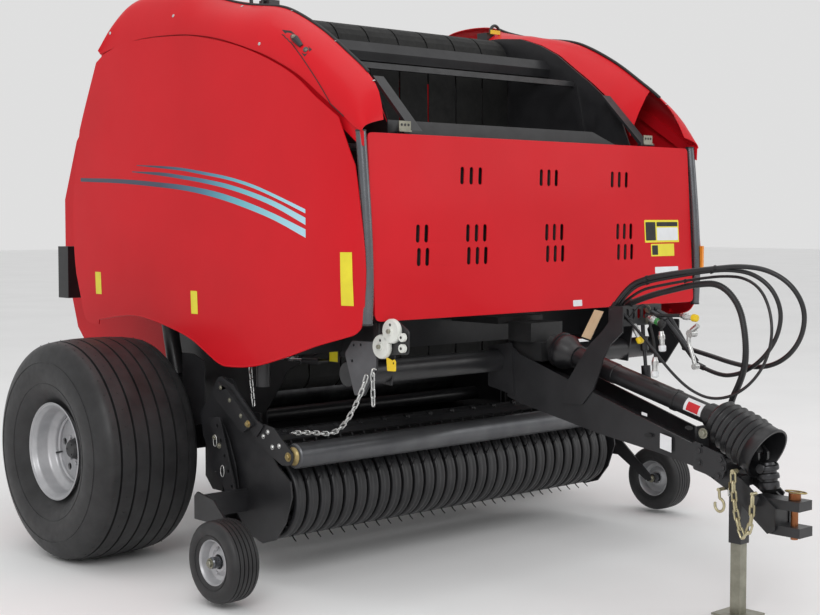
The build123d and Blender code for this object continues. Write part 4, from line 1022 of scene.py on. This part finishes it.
# ================================================================ tine reel
m = Mesh()
m.tube([P(-1.064, RC.x, RC.y), P(1.064, RC.x, RC.y)], .030, 24)
m.tube([P(-1.050, RC.x, RC.y), P(1.050, RC.x, RC.y)], .094, 40)
for s in (-1, 1):
    m.lathe(P(s * 1.052, RC.x, RC.y), (s, 0, 0), [(0, .0), (0, .130), (.008, .130), (.008, .0)], 48)
for b in range(4):
    a = radians(65 + 90 * b)
    d = Vector((cos(a), sin(a)))
    e = Vector((-d.y, d.x))
    c = RC + d * .112
    m.tube([P(-1.056, c.x, c.y), P(1.056, c.x, c.y)], .0140, 14)
    for k in range(29):
        x = (k - 14) * .070
        pts_ = []
        for r_, off in ((.112, .0), (.150, .003), (.185, .003), (.208, -.004), (.2250, -.015)):
            q = RC + d * r_ + e * off
            pts_.append(P(x, q.x, q.y))
        m.tube(pts_, [.0032, .0032, .0032, .0030, .0024], 6)
        m.tube([P(x - .012, c.x, c.y), P(x + .012, c.x, c.y)], .0185, 12)
m.make("tine_reel_skin", DARK_TINE, "tine_reel", rep=("tine_reel",), slot=SLOTS_["tine_reel"], angle=40)

# ================================================================ trim bars
m = Mesh()
for s in (-1, 1):
    line = smooth_path([P(s * 1.086, -1.674, 1.172), P(s * 1.086, -1.680, 1.36), P(s * 1.086, -1.668, 1.60), P(s * 1.086, -1.634, 1.950)], 8)
    m.tube(line, .0215, 28)
    for y, z0 in ((-1.660, 1.222), (-1.636, 1.882)):
        m.box(s * 1.078, s * 1.092, y, -1.485, z0, z0 + .016, mat=1)
    m.tube([line[0] - Vector((0, 0, .003)), line[0] + Vector((0, 0, .004))], .0225, 28, mat=1)
    m.tube([line[-1] - Vector((0, 0, .004)), line[-1] + Vector((0, 0, .003))], .0225, 28, mat=1)
m.make("trim_bar_set", (GREY, BLACK), "chassis", rep=("trim_bars",), slot=SLOTS_["trim_bars"], angle=40)

# ================================================= top opening's small parts
m = Mesh()
for x0 in (-.862, .742):
    m.box(x0, x0 + .066, -1.6165, -1.6125, 1.957, 2.000)
    m.box(x0 - .002, x0 + .068, -1.621, -1.6125, 1.955, 1.9625)
    for k in range(3):
        m.tube([P(x0 + .014 + .019 * k, -1.6165, 1.984), P(x0 + .014 + .019 * k, -1.6185, 1.984)], .0058, 12, mat=1)
m.make("hinge_plates", (ZINC, BLACK), "chassis", slot="zinc", bevel=.0008, seg=1)
m = Mesh()
for x, y, z in ((-.90, -.704, 2.548), (.90, -.460, 2.560)):
    s = 1 if x > 0 else -1
    m.box(s * .786, s * .935, y - .045, y + .045, z - .008, z)
    m.box(s * .80, s * .86, y - .038, y + .038, z, z + .040)
    loop = [P(x - .030, y, z)] + [P(x + .034 * cos(pi - pi * i / 12) * 1.0, y, z + .052 + .036 * sin(pi * i / 12)) for i in range(13)] + [P(x + .030, y, z)]
    m.tube(loop, .0085, 12)
    for dx in (-.03, .03):
        m.bolt(P(x + dx, y - .03, z), (0, 0, 1), .008, .006)
m.make("lifting_eyes", BLACK, "chassis", slot="black_paint", bevel=.001, seg=1)
m = Mesh()
m.box(.80, .872, -.528, -.522, 2.590, 2.612)
m.make("eye_tag", YPLASTIC, "chassis", slot="zinc", bevel=.0008, seg=1)

# ============================================ bracket, discs, tag and chains
m = Mesh()
plate = rounded([(-1.444, 1.037), (-1.490, 1.094), (-1.638, 1.097), (-1.638, .985), (-1.560, .872), (-1.505, .868)], [.02, .02, .01, .05, .03, .02], 4)
for s in (-1, 1):
    m.prism(plate, s * 1.0065, s * 1.0115, holes=[circle(-1.50, 1.076, .006, 12), circle(-1.545, 1.080, .006, 12), circle(-1.49, 1.010, .007, 12)])
    if s > 0:
        continue
    m.tube([P(s * .972, -1.628, 1.172), P(s * .972, -1.628, 1.060)], .022, 20, mat=1)
    for (y, z, r, t) in ((-1.668, 1.080, .050, .016), (-1.728, 1.146, .050, .016)):
        m.lathe(P(s * .998, y, z), (s, 0, 0), [(-.006, .0), (-.006, r * .96), (-.002, r), (t - .006, r), (t, r * .93), (t, r * .30), (t + .006, r * .28), (t + .006, .0)], 40, mat=2)
        m.bolt(P(s * (1.004 + t), y, z), (s, 0, 0), .010, .010, mat=4, washer=False)
        m.tube([P(s * (.997 + t), y, z + .026), P(s * (.999 + t), y, z + .026)], .006, 10, mat=1)
    for y, z in ((-1.790, 1.124), (-1.790, 1.080)):
        m.lathe(P(s * 1.000, y, z), (s, 0, 0), [(-.006, .0), (-.006, .0175), (.010, .0175), (.012, .0150), (.012, .0)], 28, mat=2)
        m.tube([P(s * 1.0105, y, z), P(s * 1.0128, y, z)], .0062, 14, mat=1)
    back = rounded([(-1.600, 1.170), (-1.740, 1.190), (-1.812, 1.150), (-1.812, 1.055), (-1.740, 1.050), (-1.600, 1.030)], .02, 3)
    m.prism(back, s * .984, s * .990, mat=1)
m.prism(rounded([(-1.700, 1.040), (-1.738, 1.028), (-1.748, 1.034), (-1.756, 1.026), (-1.756, .986), (-1.706, .984)], .004, 2), -1.010, -1.006, holes=[circle(-1.742, 1.018, .005, 10)], mat=3)
m.make("roller_brackets", (GREY_PLATE, BLACK, NYLON, YPLASTIC, ZINC), "chassis", slot="zinc", bevel=.0010, seg=1)

m = Mesh()
main = smooth_path([P(-1.040, -1.615, .960), P(-1.040, -1.590, .905), P(-1.040, -1.550, .840), P(-1.040, -1.500, .775), P(-1.040, -1.440, .722), P(-1.040, -1.370, .697), P(-1.040, -1.270, .690), P(-1.040, -1.120, .672)], 6)
chain(m, main, .030, .0036)
m.make("guard_chain", BRIGHT, "wind_guard", slot="zinc", angle=60)
m = Mesh()
chain(m, [P(-1.030, -1.640, .972), P(-1.030, -1.644, .840)], .030, .0036)
m.tube(smooth_path([P(-1.010, -1.640, .985), P(-1.030, -1.642, .990), P(-1.036, -1.641, .972), P(-1.028, -1.640, .958)], 4), .0036, 8)
m.make("short_chain", BRIGHT, "chassis", slot="zinc", angle=60)
# ========================================== inner faces of the roof caps
SHEET_TOP = [(-.300, 2.455), (-.430, 2.555), (-.600, 2.555), (-.757, 2.540), (-.895, 2.495), (-1.016, 2.435), (-1.134, 2.350), (-1.235, 2.280),
             (-1.342, 2.195), (-1.440, 2.080), (-1.500, 1.965)]


def sheet_top(y):
    for (ya, za), (yb, zb) in zip(SHEET_TOP, SHEET_TOP[1:]):
        if ya >= y >= yb:
            return za + (zb - za) * (ya - y) / (ya - yb)
    return SHEET_TOP[-1][1]


for side, s in SIDES:
    m = Mesh()
    v, f = [], []
    n = 44
    rows = ((1.0, 0.0), (.80, .015), (.45, .020), (.20, .012), (0.0, 0.0))
    for i in range(n + 1):
        y = -.44 - 1.04 * i / n
        zs, zc, xc = cap_station(y)
        a, b = Vector((xc - .004, 0, zc - .004)), Vector((.806, 0, sheet_top(y) + .002))
        loop = [a * t + b * (1 - t) + Vector((0, 0, sag)) for t, sag in rows]
        loop += [q + Vector((.002, 0, -.0032)) for q in reversed(loop)]
        v += [Vector((s * q.x, y + A, q.z)) for q in loop]
    k = 2 * len(rows)
    for i in range(n):
        f += [(i * k + j, i * k + (j + 1) % k, (i + 1) * k + (j + 1) % k, (i + 1) * k + j) for j in range(k)]
    f += [tuple(range(k)), tuple(range(n * k, n * k + k))]
    m.add(v, f)
    m.make("cap_inner_" + side, RED, "chassis", slot="red_panel", angle=40)

# =========================================================== panel labels
m = Mesh()
label(m, .691, .958, .361, .470)
label(m, .735, .916, .477, .537)
m.make("panel_films_yellow", YELLOW, "front_panel", slot="shield_paint", bevel=0, smooth=False)
m = Mesh()
label(m, .699, .775, .371, .460, off=.0012)
label(m, .785, .950, .371, .392, off=.0012)
label(m, .743, .788, .484, .530, off=.0012)
m.make("panel_films_black", BLACK_DULL, "front_panel", slot="black_paint", bevel=0, smooth=False)
m = Mesh()
label(m, .760, .942, .589, .620)
label(m, .149, .211, .727, .755)
label(m, .785, .950, .398, .460, off=.0012)
m.make("panel_films_white", WHITE, "front_panel", slot="shield_paint", bevel=0, smooth=False)

# ============================================ under the shield's front edge
m = Mesh()
m.prism([(-1.092, 1.034), (-1.148, 1.034), (-1.148, .966), (-1.092, .966)], -.8035, -.8022)
m.make("side_film_yellow", YELLOW, "chassis", slot="shield_paint", bevel=0, smooth=False)
m = Mesh()
a, b = P(-.850, -.862, .962), P(-.850, -1.078, .968)
m.tube([a, a.lerp(b, .52)], .0085, 16, mat=1)
m.tube([a.lerp(b, .50), b], .015, 20, mat=0)
for q in (a, b):
    m.tube([q + Vector((-.014, 0, 0)), q + Vector((.048, 0, 0))], .009, 14, mat=0)
m.box(-.805, -.795, -.885, -.842, .940, .985, mat=0)
m.prism([(-1.086, 1.060), (-1.154, 1.060), (-1.154, .962), (-1.086, .962)], -.8020, -.7960, mat=0)
m.make("gate_strut", (BLACK, CHROME), "chassis", slot="black_paint")
m = Mesh()
chain(m, [P(-.995, -.765, .933), P(-.995, -.788, .755)], .028, .0033)
m.tube([P(-.995, -.762, .935), P(-.995, -.760, .955), P(-.92, -.760, .955), P(-.80, -.760, .955)], .006, 10)
# coil spring hung from the sheet
pts_ = [P(-.995 + .013 * cos(2 * pi * k / 10), -.870 + .013 * sin(2 * pi * k / 10), .955 - .100 * k / 130) for k in range(131)]
m.tube(pts_, .0026, 7)
m.tube([P(-.995, -.870, .955), P(-.995, -.870, .972), P(-.90, -.870, .972), P(-.80, -.870, .972)], .005, 8)
m.make("gate_chain", BRIGHT, "chassis", slot="zinc", angle=60)

# ======================================================= tongue's small parts
TX = -.1125
m = Mesh()
for pts_ in ([(-2.388, .716), (-2.446, .704), (-2.446, .642), (-2.388, .654)],):
    m.prism(pts_, TX - .0012, TX)
m.prism([(-2.292, .795), (-2.320, .790), (-2.320, .778), (-2.292, .783)], TX - .0012, TX)
m.make("tongue_films", WHITE, "chassis", slot="shield_paint", bevel=0, smooth=False)
m = Mesh()
for s in (-1, 1):
    # splice plates with their bolts
    plate = rounded([(-2.560, .705), (-2.700, .665), (-2.722, .630), (-2.700, .560), (-2.560, .590)], [.01, .02, .02, .02, .01], 4)
    m.prism(plate, s * .1128, s * .1208, holes=[circle(-2.602, .690, .006, 10)])
    for y, z in ((-2.694, .644), (-2.706, .612), (-2.682, .577), (-2.590, .620), (-2.590, .668)):
        m.bolt(P(s * .1208, y, z), (s, 0, 0), .011, .009, mat=0)
    m.bolt(P(s * .1128, -2.602, .738), (s, 0, 0), .015, .013, mat=1)
m.make("tongue_plates", (BLACK, ZINC), "chassis", slot="black_paint", bevel=.0010, seg=1)
# dark ovals on the tongue: painted shade standing in for the hollow inside each slot
m = Mesh()
for y, z in ((-2.325, .700), (-2.533, .753)):
    m.prism([(y + .020 * cos(2 * pi * k / 20), z + .009 * sin(2 * pi * k / 20)) for k in range(20)], TX - .0008, TX + .0002)
m.make("tongue_slot_shade", BLACK_DULL, "chassis", slot="black_paint", bevel=0, smooth=False)

# ============================================== bolts of the hose holder
m = Mesh()
for s in (-1, 1):
    for y, z in ((-2.150, 1.208), (-2.153, 1.159)):
        m.bolt(P(s * .100, y, z), (s, 0, 0), .011, .009)
m.make("holder_bolts", ZINC, "chassis", slot="zinc", bevel=.0006, seg=1)

# =========================================================== hitch chain, tag
m = Mesh()
chain(m, [P(-.086, -2.712, .560), P(-.086, -2.712, .500)], .026, .0038)
m.make("hitch_chain", BRIGHT, "chassis", slot="zinc", angle=60)
m = Mesh()
m.box(-.100, -.072, -2.720, -2.7175, .522, .556)
m.make("hitch_tag", GOLD_ZINC, "chassis", slot="zinc", bevel=.0008, seg=1)

# ============================================ height quadrant and its bracket
m = Mesh()
for s in (-1, 1):
    arc_o = [(-.638, .696), (-.694, .702), (-.752, .610), (-.800, .500), (-.826, .380), (-.758, .370), (-.738, .470), (-.695, .585)]
    holes = [circle(y, z, .0075, 12) for y, z in ((-.700, .655), (-.726, .605), (-.747, .553), (-.765, .500), (-.778, .446))]
    m.prism(rounded(arc_o, [.012, .012, .10, .10, .02, .02, .06, .06], 4), s * 1.1015, s * 1.1070, holes=holes)
    for y, z in ((-.666, .684), (-.792, .392)):
        m.bolt(P(s * 1.1070, y, z), (s, 0, 0), .010, .008, mat=1)
m.make("height_quadrants", (BLACK, ZINC), "pickup", slot="black_paint", bevel=.0010, seg=1)

# ====================================================== edge reflectors
m = Mesh()
m.prism(rounded([(-1.630, 1.440), (-1.668, 1.440), (-1.668, 1.262), (-1.630, 1.262)], .006, 3), -1.0895, -1.0862)
m.prism(rounded([(-1.630, 1.440), (-1.668, 1.440), (-1.668, 1.262), (-1.630, 1.262)], .006, 3), 1.0862, 1.0895)
m.make("edge_reflectors", ORANGE, "chassis", slot="shield_paint", bevel=.0008, seg=1)

# ======================================================= reflector and strips
m = Mesh()
m.prism([(-1.690, 1.460), (-1.712, 1.460), (-1.712, 1.350), (-1.690, 1.350)], 1.0895, 1.1060)
m.make("far_reflector", ORANGE, "chassis", slot="shield_paint", bevel=.0008, seg=1)
m = Mesh()
m.prism([(-1.978, 1.203), (-2.028, 1.197), (-1.955, 1.072), (-1.905, 1.082)], -.0480, -.0440)
m.make("beige_board", BEIGE, "chassis", slot="zinc", bevel=.0006, seg=1)

# =================================== drawbar chain, hook, and the pin's clip
PALE_GOLD = surface("pale_gold_zinc", srgb(200, 192, 160), srgb(168, 158, 124), (0.28, 0.42), metal=0.75, scale=16, grain=500, bump=0.08, dist=0.0003)
m = Mesh()
line = smooth_path([P(-.135, -2.762, .601), P(-.135, -2.768, .511), P(-.137, -2.786, .422), P(-.140, -2.821, .352), P(-.137, -2.850, .423), P(-.135, -2.853, .520)], 8)
chain(m, line, .034, .0046)
m.tube([P(-.110, -2.762, .606), P(-.140, -2.762, .606)], .0095, 14)
m.tube([P(-.110, -2.853, .530), P(-.140, -2.853, .530)], .0075, 14)
hook = [P(-.120, -2.690 + .022 * cos(radians(90 + 290 * k / 18)), .462 + .026 * sin(radians(90 + 290 * k / 18))) for k in range(19)]
m.tube(hook, .0058, 10)
m.tube([P(-.120, -2.690, .488), P(-.120, -2.688, .520)], .0058, 10)
m.tube([P(-.080, -2.688, .524), P(-.128, -2.688, .524)], .0075, 12)
m.make("drawbar_chain", PALE_GOLD, "chassis", slot="zinc", angle=60)
m = Mesh()
loop = [P(.0 + .020 * cos(2 * pi * k / 28), -2.961 + .046 * sin(2 * pi * k / 28), .536) for k in range(29)]
m.tube(loop, .0032, 8)
m.make("pin_clip", GOLD_ZINC, "chassis", slot="zinc", angle=60)

# ================================ coupler ends, caps and plugs on the holder
m = Mesh()
def coupler(q, w, mat):
    """Quick coupler: body, knurled collar and coloured cap along w from q."""
    q, w = Vector(q), Vector(w).normalized()
    m.lathe(q, w, [(0, .0), (0, .010), (.012, .012), (.016, .0145), (.034, .0145), (.038, .012), (.060, .012), (.062, .0)], 24, mat=0)
    for k in range(5):
        m.lathe(q + w * (.018 + .0032 * k), w, [(0, .0140), (0, .0152), (.0016, .0152), (.0016, .0140)], 24, mat=0)
    m.lathe(q + w * .060, w, [(0, .0), (0, .0150), (.006, .0165), (.022, .0150), (.026, .010), (.026, .0)], 24, mat=mat)
coupler(P(.010, -2.395, 1.196), (0, -1, -.10), 1)
m.tube(smooth_path([P(-.030, -2.240, 1.190), P(-.010, -2.310, 1.192), P(.010, -2.396, 1.196)], 5), .0075, 12, mat=4)
coupler(P(-.040, -2.190, 1.150), (0, -.5, -1), 1)
coupler(P(-.050, -2.275, 1.185), (0, -1, -.35), 4)
m.lathe(P(-.050, -2.275, 1.185), (0, -1, -.35), [(.040, .0), (.040, .0142), (.056, .0142), (.056, .0)], 24, mat=2)
coupler(P(-.020, -2.317, 1.128), (0, -.1, -1), 3)
coupler(P(-.020, -2.287, 1.018), (0, 0, -1), 3)
m.tube(smooth_path([P(-.050, -2.160, 1.170), P(-.045, -2.230, 1.235), P(-.040, -2.270, 1.215), P(-.050, -2.272, 1.190)], 6), .0032, 8, mat=4)
m.tube(smooth_path([P(-.020, -2.317, 1.180), P(-.020, -2.318, 1.150), P(-.020, -2.317, 1.128)], 4), .0065, 12, mat=4)
m.tube(smooth_path([P(-.030, -2.262, 1.165), P(-.024, -2.280, 1.090), P(-.020, -2.287, 1.018)], 5), .0060, 12, mat=4)
m.make("coupler_ends", (BRIGHT, YPLASTIC, GREEN, WHITE, BLACK_DULL), "chassis", slot="zinc", bevel=.0005, seg=1)
m = Mesh()
lev = smooth_path([P(.005, -2.485, 1.160), P(.005, -2.450, 1.130), P(.005, -2.440, 1.092), P(.005, -2.458, 1.040), P(.005, -2.474, .992)], 6)
m.tube(lev, [.011] * 10 + [.009] * (len(lev) - 10), 12)
m.tube([P(-.010, -2.452, 1.125), P(.030, -2.452, 1.125)], .016, 20)
m.tube([P(-.008, -2.476, .990), P(.018, -2.476, .990)], .013, 18)
m.make("coupler_lever", BRIGHT, "chassis", slot="zinc", angle=50)
# ties round the hoses
m = Mesh()
for name, at in (("hose_outer", .10), ("hose_outer", .30), ("hose_middle", .10), ("hose_middle", .33), ("hose_thin", .16)):
    q = CENTRE[name]
    i = int(len(q) * at)
    t = (q[i + 1] - q[i - 1]).normalized()
    r = ROUTES[name][0] / 2
    m.lathe(q[i], t, [(-.0035, r + .0002), (-.0035, r + .0022), (.0035, r + .0022), (.0035, r + .0002)], 28)
    side_ = t.orthogonal().normalized()
    m.tube([q[i] + side_ * (r + .001), q[i] + side_ * (r + .006)], .0036, 8)
m.make("hose_ties", BLACK_DULL, "chassis", slot="hose_rubber", angle=50)

# ====================================== gauge arm plates and their small pins
m = Mesh()
for s in (-1, 1):
    strap = rounded([(-.665, .704), (-.719, .710), (-.858, .323), (-.798, .301)], .014, 4)
    m.prism(strap, s * 1.1260, s * 1.1330, holes=[circle(-.700 - .135 * k / 5, .668 - .325 * k / 5, .0085, 14) for k in range(6)])
    for y, z in ((-.702, .595), (-.736, .560)):
        m.bolt(P(s * 1.1330, y + .02, z + .02), (s, 0, 0), .009, .010, mat=1)
    # spring clips on the pins
    for y, z in ((-.690, .600), (-.745, .470)):
        ring = [P(s * 1.138, y + .013 * cos(2 * pi * k / 18), z + .026 * sin(2 * pi * k / 18)) for k in range(19)]
        m.tube(ring, .0022, 7, mat=2)
m.make("gauge_arm_plates", (BLACK, ZINC, BRIGHT), "pickup", slot="black_paint", bevel=.0010, seg=1)

# edges of the welded frames catch the light
for name in ("tongue", "pickup_frame", "hitch_clevis", "hose_holder", "jack_tube", "top_gutter"):
    o = frame["nodes"].get(name)
    if o is not None:
        b = o.modifiers.new("edge", "BEVEL")
        b.width, b.segments, b.limit_method, b.angle_limit = .0018, 1, "ANGLE", radians(50)


# ============================================================== finish of CAD
FINISH = {}
SLOT_MAT = {"tyre": TYRE, "rim": SILVER, "black_paint": BLACK, "copper_pin": COPPER, "red_panel": RED, "shield_paint": RED,
            "grey_trim": GREY, "roller_steel": STEEL, "belt": BELT, "guard_plastic": PLASTIC, "zinc": ZINC, "chrome": CHROME,
            "hose_rubber": HOSE}
SLOTS = {s["node"]: s["material_slot"] for s in frame["record"]["subparts"]}
OVERRIDE = {"tine_reel": DARK_STEEL, "stripper_bands": BLACK, "tailgate_frame": RED, "gearbox": BLACK_DULL, "lift_linkage": BLACK, "coupler_set": DARK_STEEL}
for name, o in frame["nodes"].items():
    m = OVERRIDE.get(name, SLOT_MAT.get(SLOTS.get(name), BLACK))
    if o.material_slots:
        for s_ in o.material_slots:
            s_.link = "OBJECT"
            s_.material = m
    else:
        o.data.materials.append(m)
